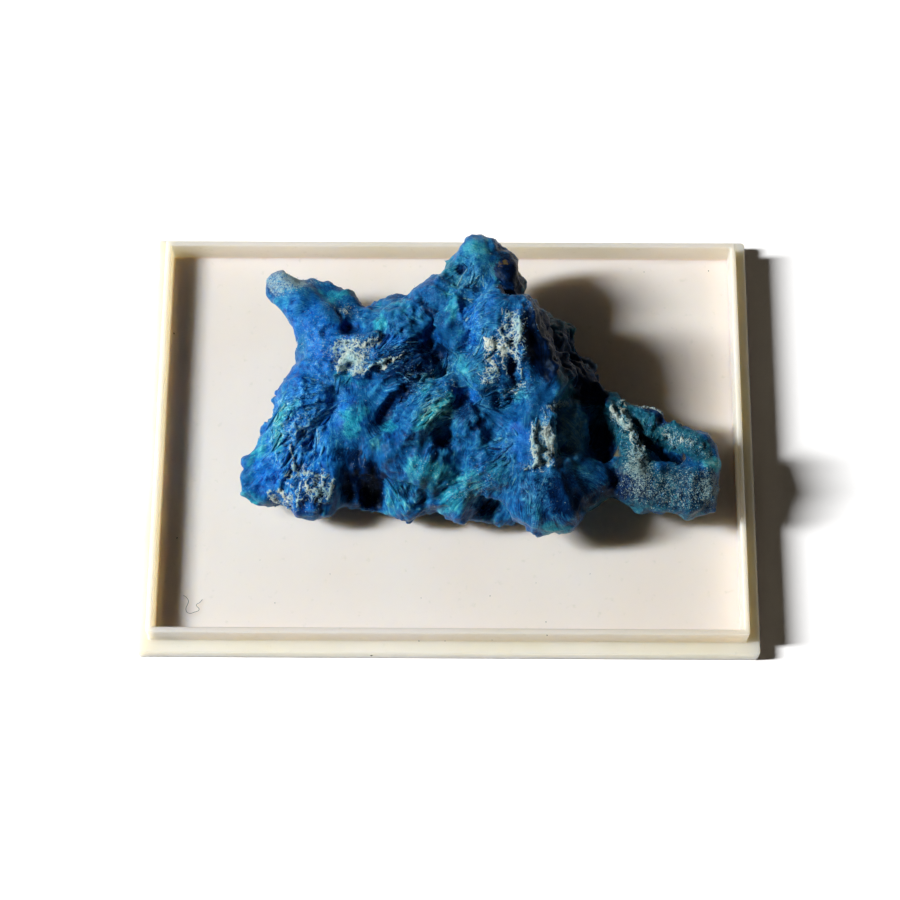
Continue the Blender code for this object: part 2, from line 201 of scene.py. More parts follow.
# Where crystal grains catch the light.
SPARKLE = rows(
    Patch,
    ("sparkling slope", 316, 348, 17, 30, -10, 2.2),
    ("slope's top", 308, 318, 9, 12, 0, 0.9),
    ("line below the peak", 446, 304, 6, 24, -8, 1.2),
    ("peak's slope", 472, 282, 16, 16, -30, 0.7),
    ("peak", 476, 250, 20, 9, 0, 0.4),
    ("heart's east side", 458, 346, 12, 24, 0, 0.6),
    ("shoulder", 508, 342, 20, 42, 0, 0.9),
    ("crust block", 354, 352, 24, 16, 0, 0.7),
    ("foot's crust", 304, 486, 28, 24, 0, 0.8),
    ("west foot", 268, 470, 14, 30, 20, 0.3),
    ("front fan's glints", 501, 471, 4, 6, 0, 1.2),
    ("columns", 546, 436, 16, 32, 0, 0.6),
    ("end lobe", 684, 488, 42, 26, 0, 0.35),
    ("inner ridge", 630, 436, 14, 36, -25, 0.5),
    ("outer ridge", 680, 440, 32, 10, 28, 0.5),
    ("horn", 285, 283, 22, 10, 0, 0.6),
    ("neck", 334, 306, 16, 10, 0, 0.6),
    ("front lobes", 450, 485, 60, 22, -15, 0.25),
    ("saddle", 500, 392, 36, 10, -25, 0.35),
)
# Where the crystal is painted lighter, or darker, than elsewhere: painted light on lit faces and on faces
# in shade, painted shade on faces turned from the light, and partly a tone of the crystal's own.
PAINTED_LIGHT_SHADE_AND_TONE = rows(
    Patch,
    ("cavern's west", 572, 432, 15, 30, 0, 1.5),
    ("shaded face", 582, 486, 28, 20, 0, 0.5),
    ("peak's shade", 512, 272, 12, 20, -35, -1),
    ("smooth face", 540, 345, 14, 40, -14, -1),
    ("black cleft", 373, 489, 11, 24, 0, -1.2),
    ("green spot", 713, 462, 9, 7),
    ("horn's neck", 302, 308, 30, 26, 20, 0.3),
    ("sparkling slope", 318, 350, 18, 30, -10, 0.3),
    ("west face", 304, 410, 40, 24, -20, 0.4),
    ("west face, low", 290, 450, 34, 36, 10, 0.4),
    ("peak", 474, 268, 30, 34, 0, 0.4),
    ("bundle", 436, 412, 30, 18, -38, 0.7),
    ("columns", 541, 446, 10, 26, 0, 0.5),
    ("front lobe", 548, 505, 34, 26, 0, 0.3),
    ("groove", 384, 414, 12, 30, 33, 0.5),
)
# Where the skin is turquoise.
TURQUOISE = rows(
    Patch,
    ("horn's underside", 280, 306, 10, 16, -30, 0.5),
    ("horn's green edge", 332, 296, 14, 6, 20, 0.8),
    ("top bumps", 349, 293, 10, 6, 20, 0.9),
    ("pale green patch", 381, 325, 9, 8),
    ("slope by the crust", 352, 378, 20, 9, 15, 0.6),
    ("north bumps", 396, 309, 22, 10, 0, 0.45),
    ("peak's west slope", 446, 268, 16, 12, -40, 0.7),
    ("peak", 478, 252, 20, 15, 0, 0.6),
    ("line below the peak", 454, 300, 8, 34, 12, 0.55),
    ("heart's east side", 462, 345, 10, 26, 0, 0.5),
    ("bright bundle", 441, 410, 16, 8, -38, 1.5),
    ("bundle's lower half", 424, 423, 17, 7, -35),
    ("bundle's root", 452, 398, 7, 7),
    ("west lobe", 389, 426, 10, 9, 0, 1.1),
    ("porous band", 353, 411, 16, 10, -10),
    ("porous band's foot", 354, 428, 9, 12, 10, 0.9),
    ("west rim", 288, 411, 20, 9, -15, 0.65),
    ("west rim's foot", 279, 436, 7, 27, 4, 0.7),
    ("west edge", 256, 455, 9, 26, 28, 0.5),
    ("west toe", 250, 497, 14, 9, 20, 0.6),
    ("lobes in front", 420, 466, 17, 15, 0, 0.9),
    ("lobes in front, east", 448, 472, 20, 12, 0, 0.6),
    ("front hem", 398, 497, 14, 22, 0, 0.55),
    ("front fan", 474, 480, 34, 13, -28, 0.6),
    ("porous lump", 450, 501, 16, 13, 0, 0.9),
    ("front lobe's toe", 555, 529, 18, 8, 0, 1.2),
    ("front lobe's side", 529, 512, 12, 12, 0, 0.5),
    ("saddle", 520, 396, 30, 9, -30, 0.4),
    ("back slope's rim", 575, 335, 30, 8, 55, 0.5),
    ("inner ridge", 634, 448, 12, 26, -18, 0.4),
    ("end lobe's top", 712, 462, 12, 8, 20, 1.6),
    ("end lobe's foot", 690, 514, 30, 6, 0, 0.7),
    ("lobe's hem", 600, 506, 26, 7, -10, 0.6),
    ("outer ridge", 690, 441, 22, 7, 28, 0.6),
    ("blades below the heart", 425, 380, 14, 22, 30, 0.55),
    ("shoulder's blades", 470, 372, 14, 20, -40, 0.5),
    ("crest", 540, 318, 8, 20, -20, 0.4),
)
# Where the blue turns to indigo and violet.
INDIGO = rows(
    Patch,
    ("cavern's west", 572, 432, 15, 30, 0, 1.5),
    ("west", 296, 440, 50, 84, 12, 0.7),
    ("horn's neck", 298, 312, 26, 26, 0, 0.6),
    ("slope below the horn", 326, 356, 30, 40, 0, 0.4),
    ("sparkling slope", 318, 345, 14, 26, -10, 0.5),
    ("slope's foot", 330, 372, 20, 12, 0, 0.5),
    ("hollow by the crust", 352, 329, 14, 9, 10),
    ("middle of the west face", 323, 416, 24, 12, -10, 0.9),
    ("west face, low", 310, 446, 16, 22, 10, 0.8),
    ("west foot", 268, 462, 12, 18, 20, 0.6),
    ("heart's west side", 392, 347, 30, 11, -6, 0.9),
    ("bright face", 478, 300, 20, 26, 0, 0.3),
    ("crust's blue", 470, 330, 12, 26, 0, 0.6),
    ("below the bundle", 470, 395, 16, 14, -30, 0.7),
    ("column body", 523, 440, 10, 24, 0, 0.6),
    ("front fan's root", 505, 440, 20, 16, 0, 0.35),
    ("front lobe", 540, 500, 22, 18, 0, 0.5),
    ("end lobe", 680, 492, 30, 18, 0, 0.6),
    ("shaded face", 580, 480, 20, 12, 0, 0.6),
    ("lobes' gap", 415, 490, 10, 12, 0, 0.6),
)
# Where the blue is painted deep and dark: partly clear crystal's own deep colour, partly painted shade in
# hollows, clefts, pits and on faces turned from the light.
NAVY_AND_PAINTED_SHADE = rows(
    Patch,
    ("cavern's west", 572, 432, 14, 28, 0, -0.6),
    ("foot's crust", 308, 488, 26, 20, 0, 0.7),
    ("end lobe, west", 630, 480, 22, 34, 0, 0.7),
    ("horn's neck", 298, 309, 14, 17, 20, 0.45),
    ("hollow by the crust", 354, 330, 12, 7, 10, 0.9),
    ("long groove", 384, 414, 10, 28, 33, 1.4),
    ("groove's head", 404, 393, 14, 9, -30, 1.2),
    ("blue cleft", 351, 482, 13, 26, 0, 1.3),
    ("between the clefts", 362, 480, 9, 32, -8, 1.4),
    ("black cleft", 373, 489, 12, 26, 0, 1.8),
    ("north of the cleft", 345, 452, 16, 10, 20, 0.8),
    ("heart", 444, 352, 12, 9, 30, 1.4),
    ("heart's hollow", 424, 366, 20, 10, 20, 0.5),
    ("north slit", 430, 311, 8, 17, -35, 1.2),
    ("pit by the bundle", 442, 445, 10, 7, 20, 1.2),
    ("pit", 478, 423, 11, 7, 0, 1.4),
    ("under the saddle", 462, 408, 12, 18, 20, 1.2),
    ("peak's slot", 512, 291, 14, 7, 15, 2),
    ("peak's shade", 512, 272, 13, 18, -35, 2),
    ("peak's hole", 462, 269, 6, 7, 0, 1.7),
    ("shoulder's slot", 512, 368, 5, 14, -15, 0.8),
    ("shoulder's hole", 512, 341, 4, 4, 0, 1.5),
    ("smooth face", 540, 342, 16, 42, -14, 2.2),
    ("end lobe", 684, 490, 46, 30, 0, 0.8),
    ("front lobe", 550, 500, 34, 30, 0, 1.1),
    ("heart's west side", 406, 362, 36, 24, -10, 1.4),
    ("lobes", 420, 460, 30, 20, 0, 0.35),
    ("front fan", 490, 484, 44, 24, -20, 0.4),
    ("peak", 490, 262, 30, 24, 0, 0.4),
    ("shoulder", 506, 350, 20, 44, 0, 0.7),
    ("outer ridge", 690, 440, 32, 14, 25, 0.2),
    ("back slope", 580, 362, 22, 46, -38, 1.3),
    ("back slope, low", 592, 390, 18, 16, 0, 1.4),
    ("cavern", 592, 436, 16, 28, 0, 0.7),
    ("cavern's east end", 606, 448, 10, 24, 0, 1.1),
    ("gap in the outer ridge", 665, 419, 9, 10, 20, 1.4),
    ("east hole's end", 680, 459, 10, 7, 20, 0.9),
    ("behind the outer ridge", 650, 408, 22, 9, 22, 1.2),
    ("shaded face", 582, 490, 28, 24, 0, 1.2),
    ("below the inner ridge", 618, 484, 16, 18, 0, 0.7),
    ("arch", 484, 509, 18, 8, 0, 0.7),
    ("hem's hollow", 407, 494, 11, 11),
    ("streak saddle", 512, 394, 30, 10, -25, 0.7),
    ("west crack", 300, 401, 24, 4, -26, 0.8),
)
# Where the skin is frosted: pale, fine-grained, bluish. Negative patches keep the frost and the painted
# crest highlight off faces turned from the light.
FROST = rows(
    Patch,
    ("back slope", 580, 362, 28, 54, -38, -1),
    ("smooth face", 542, 345, 14, 38, -14, -0.8),
    ("peak's shade", 512, 272, 12, 18, -35, -0.8),
    ("sparkling slope", 316, 346, 18, 30, -10, 0.45),
    ("end lobe, west", 632, 478, 18, 28, 0, 0.6),
    ("crust block", 352, 354, 22, 20, 0, 1.1),
    ("columns", 542, 444, 13, 30, 0, 1.2),
    ("west low", 288, 444, 30, 30, 0, 0.35),
    ("horn's tip", 283, 283, 22, 14, 0, 1.4),
    ("horn's upper edge", 305, 281, 18, 8, 12, 0.8),
    ("horn's slope", 333, 306, 18, 10, 20, 0.5),
    ("lip by the crust", 352, 312, 12, 5, 30, 0.6),
    ("inner ridge", 628, 424, 13, 32, -30, 0.4),
    ("inner ridge's foot", 640, 462, 14, 16, 0, 0.9),
    ("outer ridge", 686, 442, 30, 10, 28, 0.6),
    ("end lobe", 680, 488, 44, 24, 0, 0.8),
    ("end", 712, 482, 14, 32, 0, 0.5),
    ("peak's lines", 470, 285, 14, 20, -30, 0.2),
    ("west face", 300, 425, 22, 16, -15, 0.35),
    ("crest's edge", 533, 310, 8, 20, -20, 0.5),
    ("front lobes", 424, 468, 22, 14, 0, 0.35),
    ("front fan", 470, 486, 30, 14, -30, 0.45),
    ("bundle", 432, 415, 20, 12, -38, 0.3),
    ("V blades", 418, 378, 18, 20, 30, 0.3),
    ("column body", 560, 405, 16, 8, -20, 0.7),
    ("back slope's rim", 562, 322, 16, 8, 40, 0.25),
)
# Where a white, porous crust lies on the skin.
CRUST = rows(
    Patch,
    ("crust block", 352, 350, 20, 12, 0, 1.75),
    ("crust block, low", 350, 363, 13, 13, 0, 1.6),
    ("crust block, east", 373, 341, 9, 6, -10, 1.6),
    ("ridge by the block", 382, 364, 19, 4, -24, 1.5),
    ("pore", 350, 366, 3, 3, 0, -3),
    ("upper pore", 351, 344, 5, 1.6, -10, -2.5),
    ("west pore", 343, 351, 2.5, 1.8, 0, -2.5),
    ("middle pore", 353, 356, 5, 1.5, -10, -2.5),
    ("mark on the horn", 343, 312, 5, 6, 30, 0.8),
    ("foot's crust", 308, 491, 24, 18, 0, 0.65),
    ("foot's crust, west", 282, 500, 18, 10, 10, 0.6),
    ("foot's crust, top", 301, 470, 14, 9, 0, 0.6),
    ("foot's crust, east", 326, 484, 10, 20, 20, 0.45),
    ("shoulder, top", 513, 320, 11, 14, -10, 0.95),
    ("shoulder, west", 497, 349, 13, 22, 20, 0.95),
    ("shoulder, east", 518, 346, 9, 24, -10, 0.8),
    ("shoulder's foot", 490, 379, 12, 9, 0, 0.7),
    ("west column", 535, 444, 4.0, 24, -2, 1.3),
    ("east column", 549, 443, 4.0, 27, -2, 1.3),
    ("columns' head", 556, 404, 15, 6, -15, 0.9),
    ("columns' foot", 535, 467, 14, 8, 0, 0.8),
    ("inner ridge", 622, 418, 8, 22, -35, 0.75),
    ("inner ridge, low", 636, 448, 7, 20, -15, 0.75),
    ("outer ridge, west", 642, 406, 12, 5, 20, 0.8),
    ("outer ridge, east", 678, 440, 18, 7, 25, 0.8),
    ("end lobe", 676, 492, 40, 22, 0, 0.25),
    ("heart's rim", 452, 385, 6, 10, 20, 0.6),
    ("east of the heart", 489, 362, 8, 16, 20, 0.7),
    ("front fan's crust", 462, 497, 10, 8, 0, 0.4),
    ("saddle's streaks", 516, 388, 20, 6, -30, 0.6),
)
# The crust's white strands: lines between two pixels, by the place that they grow on.
STRANDS = {
    "foot": (
        (291, 443, 294, 468), (287, 471, 312, 474), (310, 474, 334, 481), (270, 494, 277, 505),
        (281, 490, 291, 509), (297, 480, 299, 503), (305, 478, 309, 500), (317, 486, 318, 503),
        (322, 468, 331, 486), (335, 481, 328, 501), (297, 471, 304, 480), (312, 492, 322, 490),
        (284, 481, 296, 490)),
    "shoulder": (
        (513, 311, 497, 333), (497, 333, 506, 345), (516, 316, 519, 336), (519, 336, 511, 349),
        (485, 338, 505, 350), (488, 354, 497, 379), (515, 350, 524, 376), (504, 350, 501, 368),
        (492, 346, 487, 362), (497, 378, 484, 384), (508, 318, 506, 330), (499, 362, 508, 376)),
    "columns": (
        (533, 422, 534, 466), (537, 434, 537, 462), (546, 424, 547, 468), (551, 430, 551, 452),
        (534, 464, 526, 470), (541, 420, 536, 432), (546, 456, 540, 468)),
    "block": (
        (336, 341, 367, 342), (334, 343, 340, 373), (366, 342, 379, 341), (340, 372, 358, 368),
        (343, 358, 362, 360), (361, 371, 379, 363), (379, 363, 404, 352)),
    "ridges": (
        (612, 404, 624, 424), (620, 402, 632, 428), (626, 424, 636, 446), (636, 430, 648, 462),
        (616, 414, 634, 434), (640, 405, 660, 410)),
}
STRAND_WIDTH = 2.5
STRAND_AMOUNT = 1.6
# Dust on the tray, at pixels: dark specks and their half sizes in mm.
SPECKS = (
    (174, 333.5, 0.16), (177, 538, 0.14), (371.5, 655.5, 0.22), (419, 641, 0.12), (445, 641, 0.10),
    (547, 635, 0.16), (546, 622, 0.10), (490, 596, 0.10), (708.5, 271, 0.14), (644, 272, 0.10),
    (275, 603, 0.10), (492, 640, 0.10), (330, 574, 0.08), (421, 598, 0.08), (590, 574, 0.08),
    (536, 583, 0.07), (260, 560, 0.07),
)
# A hair on the floor by the left wall, as pixels along it.
HAIR = (
    (202.5, 600), (200.5, 603.5), (196.5, 605), (196.5, 606.5), (199.5, 608.5), (199, 611.5),
    (195, 613), (190.5, 614.5), (186.5, 612.5), (185.6, 608.5), (188, 605), (189.2, 602), (187, 598),
    (183.5, 595.5),
)
HAIR_RADIUS = 0.045
# Ochre and pinkish stains.
STAIN = rows(
    Patch,
    ("peak's spot", 520, 275, 6, 4, 30, 1.5),
    ("peak's spots", 502, 262, 5, 6, 30, 1.1),
    ("peak's west spot", 481, 249, 3, 3, 0, 0.8),
    ("cavern's spot", 618, 452, 5, 8, 0, 1.15),
    ("hole's spot", 684, 460, 3, 5, -30, 1.25),
    ("outer ridge", 641, 407, 8, 5, 20, 0.8),
    ("foot's pink", 301, 469, 9, 5, -10, 0.8),
    ("crust's pink", 484, 335, 5, 9, 0, 0.5),
    ("heart's brown", 455, 388, 6, 10, 20, 0.6),
    ("end lobe's pink", 668, 480, 20, 12, 0, 0.35),
)
# Hollows pressed into the skin, the amount in mm.
DENTS = rows(
    Patch,
    ("long groove", 384, 414, 8, 27, 33, 1.8),
    ("groove's head", 404, 393, 12, 6, -30, 1.2),
    ("hollow by the crust", 353, 329, 15, 8, 10),
    ("heart", 444, 353, 12, 8, 30, 0.9),
    ("north slit, half filled", 430, 311, 8, 16, -35, -1.3),
    ("pit by the bundle", 446, 443, 9, 6, 20, 0.6),
    ("pit", 479, 423, 10, 6, 0, 0.8),
    ("peak's slot", 512, 292, 12, 5, 15, 1.6),
    ("peak's hole", 462, 270, 5, 6, 0, 0.3),
    ("shoulder's slot", 512, 368, 4, 13, -15, 0.6),
    ("shoulder's hole", 511, 341, 4, 4, 0, 1.2),
    ("peak's west flank, filled", 440, 270, 12, 8, -40, -1),
    ("west toe, filled", 246, 474, 8, 14, 20, -1.5),
    ("foot's edge, filled", 318, 512, 20, 6, 0, -0.8),
    ("peak's east flank, filled", 496, 245, 9, 7, 30, -1.1),
    ("cavern's west, half filled", 573, 432, 13, 28, 0, -1.6),
    ("east hole, half filled", 654, 443, 15, 24, -33, -2.3),
    ("gap in the outer ridge", 665, 419, 7, 9, 20, 1.1),
    ("peak's east flank, cut", 528, 271, 12, 16, 35, 1.5),
    ("east of the columns", 560, 440, 6, 24, -4, 0.5),
    ("pore", 350, 366, 3.5, 3, 0, 1.2),
    ("pore, upper", 345, 351, 2.5, 2.5, 0, 0.8),
    ("hem's hollow", 407, 494, 9, 9),
    ("between the clefts", 362, 482, 6, 24, -8, 1.5),
    ("neck's slot", 340, 313, 2, 5, -30, 0.7),
)
# Where the foot is too thin to draw in.
LIP = rows(
    Patch,
    ("clefts' lip", 362, 500, 40, 30),
    ("west foot", 254, 468, 26, 40),
)
# Ridges raised on the skin, the amount in mm.
RIDGES = rows(
    Stroke,
    ("ridge by the crust block", 361, 371, 402, 353, 3.5),
    ("crust block's upper lip", 333, 339, 381, 337, 4),
    ("west column", 534, 421, 536, 466, 4.0, 0.9),
    ("east column", 549, 415, 550, 470, 4.0, 0.9),
    ("crest's edge", 527, 300, 553, 366, 4),
    ("crust's east rim", 519, 312, 524, 378, 3.5, 0.8),
    ("inner ridge", 606, 400, 640, 432, 5.0, 0.8),
    ("inner ridge, low", 640, 432, 651, 462, 4.0, 0.7),
    ("bundle's spine", 452, 399, 419, 430, 5.0, 0.9),
    ("bundle's second spine", 440, 396, 408, 420, 4.0, 0.6),
    ("west fibre", 284, 407, 330, 386, 3.0, 0.7),
    ("west fibre, low", 281, 414, 326, 398, 2.5, 0.6),
    ("slope line", 452, 282, 466, 330, 3.0, 0.6),
    ("streak above the foot", 290, 443, 296, 468, 2.5, 0.6),
)
# The tables that the crystal's material reads, by the name of the value stored at each vertex.
PATCHES = {
    "indigo": INDIGO, "turquoise": TURQUOISE, "teal_and_painted_shade": TEAL_AND_PAINTED_SHADE, "navy_and_painted_shade": NAVY_AND_PAINTED_SHADE, "frost": FROST, "crust": CRUST,
    "stain": STAIN,
}
SKIN = "chalcanthite-skin"
CRYSTAL = "fibrous chalcanthite"


def linear(code):
    """An sRGB hex colour as the linear red, green and blue that Blender's colours hold."""
    parts = [int(code[i:i + 2], 16) / 255 for i in (1, 3, 5)]
    return tuple(p / 12.92 if p <= 0.04045 else ((p + 0.055) / 1.055) ** 2.4 for p in parts)


# Numbers that look random but are the same each run

CORNERS = [np.array((i, j, k), float) for i in (0, 1) for j in (0, 1) for k in (0, 1)]
# Large odd numbers, as in common hash functions, that mix a cell's bits.
CELL_FACTORS = np.array((73856093, 19349663, 83492791))
SALT_FACTOR = 374761393
SHIFTS = ((15, np.uint32(2246822519)), (13, np.uint32(3266489917)), (16, np.uint32(1)))
LOW_BITS = 0xFFFFFFFF
# A seed keeps off its cell's faces by a margin, and has the rest of the cell as room.
SEED_MARGIN = 0.12
SEED_ROOM = 0.76


def cell_value(cell, salt):
    """A repeatable number from 0 to 1 for each whole-numbered cell: its three numbers mixed bit by bit.

    A salt is a whole number that gives each use a pattern of its own.
    """
    bits = cell.astype(np.int64) @ CELL_FACTORS + salt * SALT_FACTOR
    bits = (bits & LOW_BITS).astype(np.uint32)
    for shift, factor in SHIFTS:
        bits = (bits ^ (bits >> shift)) * factor
    return bits / (LOW_BITS + 1.0)


def noise(points, salt):
    """Smooth noise, -1 to 1: the numbers of the eight cells round a point, blended by an S-curve."""
    base = np.floor(points)
    share = points - base
    share = share * share * (3.0 - 2.0 * share)
    total = np.zeros(len(points))
    for corner in CORNERS:
        weight = np.prod(np.where(corner > 0, share, 1.0 - share), axis=1)
        total = total + weight * cell_value(base + corner, salt)
    return 2.0 * total - 1.0


def rough(points, salt, octaves):
    """Noise added at halving sizes and heights."""
    total = np.zeros(len(points))
    for octave in range(octaves):
        total = total + noise(points * 2.0 ** octave, salt + octave) / 2.0 ** octave
    return total


def nearest_seeds(points, salt):
    """Distances to the two nearest of seeds scattered one a cell, and the nearest's number, 0 to 1."""
    base = np.floor(points - 0.5)
    nearest = np.full(len(points), 9.0)
    second = np.full(len(points), 9.0)
    number = np.zeros(len(points))
    for corner in CORNERS:
        cell = base + corner
        jitter = np.stack([cell_value(cell, salt + axis) for axis in range(3)], axis=1)
        distance = np.linalg.norm(points - cell - SEED_MARGIN - SEED_ROOM * jitter, axis=1)
        closer = distance < nearest
        second = np.where(closer, nearest, np.minimum(second, distance))
        number = np.where(closer, cell_value(cell, salt + 3), number)
        nearest = np.where(closer, distance, nearest)
    return nearest, second, number


def smooth_step(low, high, value):
    """0 below low, 1 above high and an S-curve between; low above high turns it round."""
    share = np.clip((value - low) / (high - low), 0.0, 1.0)
    return share * share * (3.0 - 2.0 * share)


# The photograph's camera as sums

CAMERA_FRAME = np.array(Euler([math.radians(a) for a in CAMERA_TURN]).to_matrix())
# The lens's focal length in pixels.
FOCAL = CAMERA_LENS / SENSOR * PHOTO_SIDE
# Patches' torn edges: how far noise shifts them, in pixels, and its size in mm.
TORN = 4.0
TEAR_SIZE = 2.4
# The shares of the way to the skin's middle that a pixel outside the outline slides by.
SLIDES = np.linspace(0.0, 0.3, 31)


def seen_at(points):
    """The pixel that shows each point: how far it is to the side, over its depth, by the focal length."""
    local = (points - np.array(CAMERA_PLACE)) @ CAMERA_FRAME
    pixels = local[:, :2] / -local[:, 2:] * FOCAL
    return np.stack([PHOTO_SIDE / 2 + pixels[:, 0], PHOTO_SIDE / 2 - pixels[:, 1]], axis=1)


def ragged_pixels(points):
    """The pixels that show the points, shifted a few pixels by noise, so that patches get torn edges."""
    shift = np.stack([TORN * rough(points / TEAR_SIZE, salt, 3) for salt in (131, 141)], axis=1)
    return seen_at(points) + shift


def behind_pixel(tree, u, v):
    """The first point of the skin, in mm, that the camera's ray through a pixel meets, and the ray.

    A pixel just outside the skin's outline slides towards the skin's middle until its ray meets it.
    """
    start = Vector(CAMERA_PLACE)
    for share in SLIDES:
        pixel = np.array((u, v)) + share * (np.array(SKIN_MIDDLE) - np.array((u, v)))
        across = (pixel - PHOTO_SIDE / 2) / FOCAL
        ray = Vector(CAMERA_FRAME @ np.array((across[0], -across[1], -1.0))).normalized()
        hit = tree.ray_cast(start, ray)[0]
        if hit is not None:
            return np.array(hit), np.array(ray)
    raise RuntimeError(f"no skin near pixel {u}, {v}")


# Meshes as arrays

def arrays_of(mesh):
    """A mesh's vertices, in mm, and their normals."""
    points = np.empty(len(mesh.vertices) * 3)
    normals = np.empty(len(mesh.vertices) * 3)
    mesh.vertices.foreach_get("co", points)
    mesh.vertices.foreach_get("normal", normals)
    return points.reshape(-1, 3) / MM, normals.reshape(-1, 3)


def put_points(mesh, points):
    """Moves a mesh's vertices to points in mm."""
    mesh.vertices.foreach_set("co", (points * MM).ravel())
    mesh.update()


# Shares of the way to the neighbours' mean, there and back, in each round of smoothing.
EASE = (0.5, -0.48)


def smoothed(mesh, points, rounds):
    """Points eased towards their neighbours' mean and back a little, so that lumps keep their size."""
    edges = np.empty(len(mesh.edges) * 2, np.int32)
    mesh.edges.foreach_get("vertices", edges)
    a, b = edges.reshape(-1, 2).T
    count = np.bincount(a, minlength=len(points)) + np.bincount(b, minlength=len(points))
    for share in EASE * rounds:
        mean = np.stack([
            np.bincount(a, weights=points[b, axis], minlength=len(points))
            + np.bincount(b, weights=points[a, axis], minlength=len(points))
            for axis in range(3)], axis=1) / count[:, None]
        points = points + share * (mean - points)
    return points


def with_modifier(thing, kind, **settings):
    """Applies one modifier to an object's mesh."""
    modifier = thing.modifiers.new(kind.title(), kind)
    for name, value in settings.items():
        setattr(modifier, name, value)
    view = bpy.context.evaluated_depsgraph_get()
    mesh = bpy.data.meshes.new_from_object(thing.evaluated_get(view))
    thing.modifiers.clear()
    old = thing.data
    thing.data = mesh
    bpy.data.meshes.remove(old)


def one_shell(mesh):
    """Leaves a mesh's largest shell: no loose islands, and no corners that only two faces share."""
    shell = bmesh.new()
    shell.from_mesh(mesh)
    thin = [corner for corner in shell.verts if len(corner.link_edges) == 2]
    bmesh.ops.dissolve_verts(shell, verts=thin)
    rest = dict.fromkeys(shell.faces)
    largest = []
    while rest:
        start = next(iter(rest))
        del rest[start]
        island = [start]
        for face in island:
            for edge in face.edges:
                for other in edge.link_faces:
                    if other in rest:
                        del rest[other]
                        island.append(other)
        if len(island) > len(largest):
            largest = island
    kept = set(largest)
    bmesh.ops.delete(shell, geom=[face for face in shell.faces if face not in kept], context="FACES")
    shell.to_mesh(mesh)
    shell.free()
    mesh.update()


def made_piece(name, points, faces, material):
    """A piece from points in mm and faces with one number of corners, smooth and riding on the body."""
    mesh = bpy.data.meshes.new(name)
    faces = np.asarray(faces, np.int32)
    corners = faces.shape[1]
    mesh.vertices.add(len(points))
    mesh.vertices.foreach_set("co", (points * MM).astype(np.float32).ravel())
    mesh.loops.add(faces.size)
    mesh.loops.foreach_set("vertex_index", faces.ravel())
    mesh.polygons.add(len(faces))
    mesh.polygons.foreach_set("loop_start", np.arange(0, faces.size, corners, dtype=np.int32))
    mesh.polygons.foreach_set("loop_total", np.full(len(faces), corners, np.int32))
    mesh.update(calc_edges=True)
    mesh.validate()
    piece = bpy.data.objects.new(name, mesh)
    bpy.context.scene.collection.objects.link(piece)
    mesh.materials.append(material)
    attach(piece, "root")
    return piece


def put_value(mesh, name, values):
    """Stores one number a vertex under a name that the material reads."""
    attribute = mesh.attributes.new(name, "FLOAT", "POINT")
    attribute.data.foreach_set("value", values.astype(np.float32))


def put_direction(mesh, name, values):
    """Stores three numbers a vertex under a name that the material reads."""
    attribute = mesh.attributes.new(name, "FLOAT_VECTOR", "POINT")
    attribute.data.foreach_set("vector", values.astype(np.float32).ravel())


# A surface is a mesh's points and normals, the tree that rays from the camera meet, and the pixels that
# show the points.
Surface = namedtuple("Surface", "points normals tree pixels")


def skin_tree(points, mesh):
    """A tree of a mesh's triangles, in mm, that rays are cast at."""
    mesh.calc_loop_triangles()
    triangles = np.empty(len(mesh.loop_triangles) * 3, np.int32)
    mesh.loop_triangles.foreach_get("vertices", triangles)
    return BVHTree.FromPolygons(points.tolist(), triangles.reshape(-1, 3).tolist())


def surface_of(mesh, tree=None):
    """A mesh's surface, with the tree of another mesh where one is given."""
    points, normals = arrays_of(mesh)
    if tree is None:
        tree = skin_tree(points, mesh)
    return Surface(points, normals, tree, ragged_pixels(points))


# Needles, patches and strokes

def all_roots(tree):
    """Every root's place, in mm, and its weight."""
    places = []
    for root in ROOTS:
        hit, ray = behind_pixel(tree, root.u, root.v)
        places.append((*(hit + ray * root.depth), root.weight))
    for root in HIDDEN_ROOTS:
        places.append((root.x, root.y, root.z, root.weight))
    return np.array(places)


# Needles lie closer to level than a line from their root does, because the skin shows their sides.
FLATTEN = np.array((1.0, 1.0, 0.22))
# Sizes in mm of the noise that bends the needles, coarse and fine, and that tears their regions' edges.
BEND = 7.0
FINE_BEND = 3.0
REGION_EDGE = 5.0
FINE_REGION_EDGE = 2.0
FAR = 1e9


def needle_field(points, roots):
    """The direction of the needles at each point and the distance to the root that they grow from.

    Each point belongs to the root whose distance, over its weight and shifted by noise, is least.
    """
    ragged = 1.0 + 0.22 * rough(points / REGION_EDGE, 11, 2)
    bent = np.stack([1.6 * noise(points / BEND, salt) + 0.7 * noise(points / FINE_BEND, salt + 1)
                     for salt in (151, 161, 171)], axis=1)
    best = np.full(len(points), FAR)
    direction = np.zeros((len(points), 3))
    distance = np.zeros(len(points))
    for order, (x, y, z, weight) in enumerate(roots):
        offset = (points + bent - np.array((x, y, z))) * FLATTEN
        length = np.linalg.norm(offset, axis=1) + 1e-6
        score = length / weight * (ragged + 0.1 * noise(points / FINE_REGION_EDGE, 40 + order))
        closer = score < best
        best = np.where(closer, score, best)
        distance = np.where(closer, length, distance)
        direction = np.where(closer[:, None], offset / length[:, None], direction)
    return direction, distance


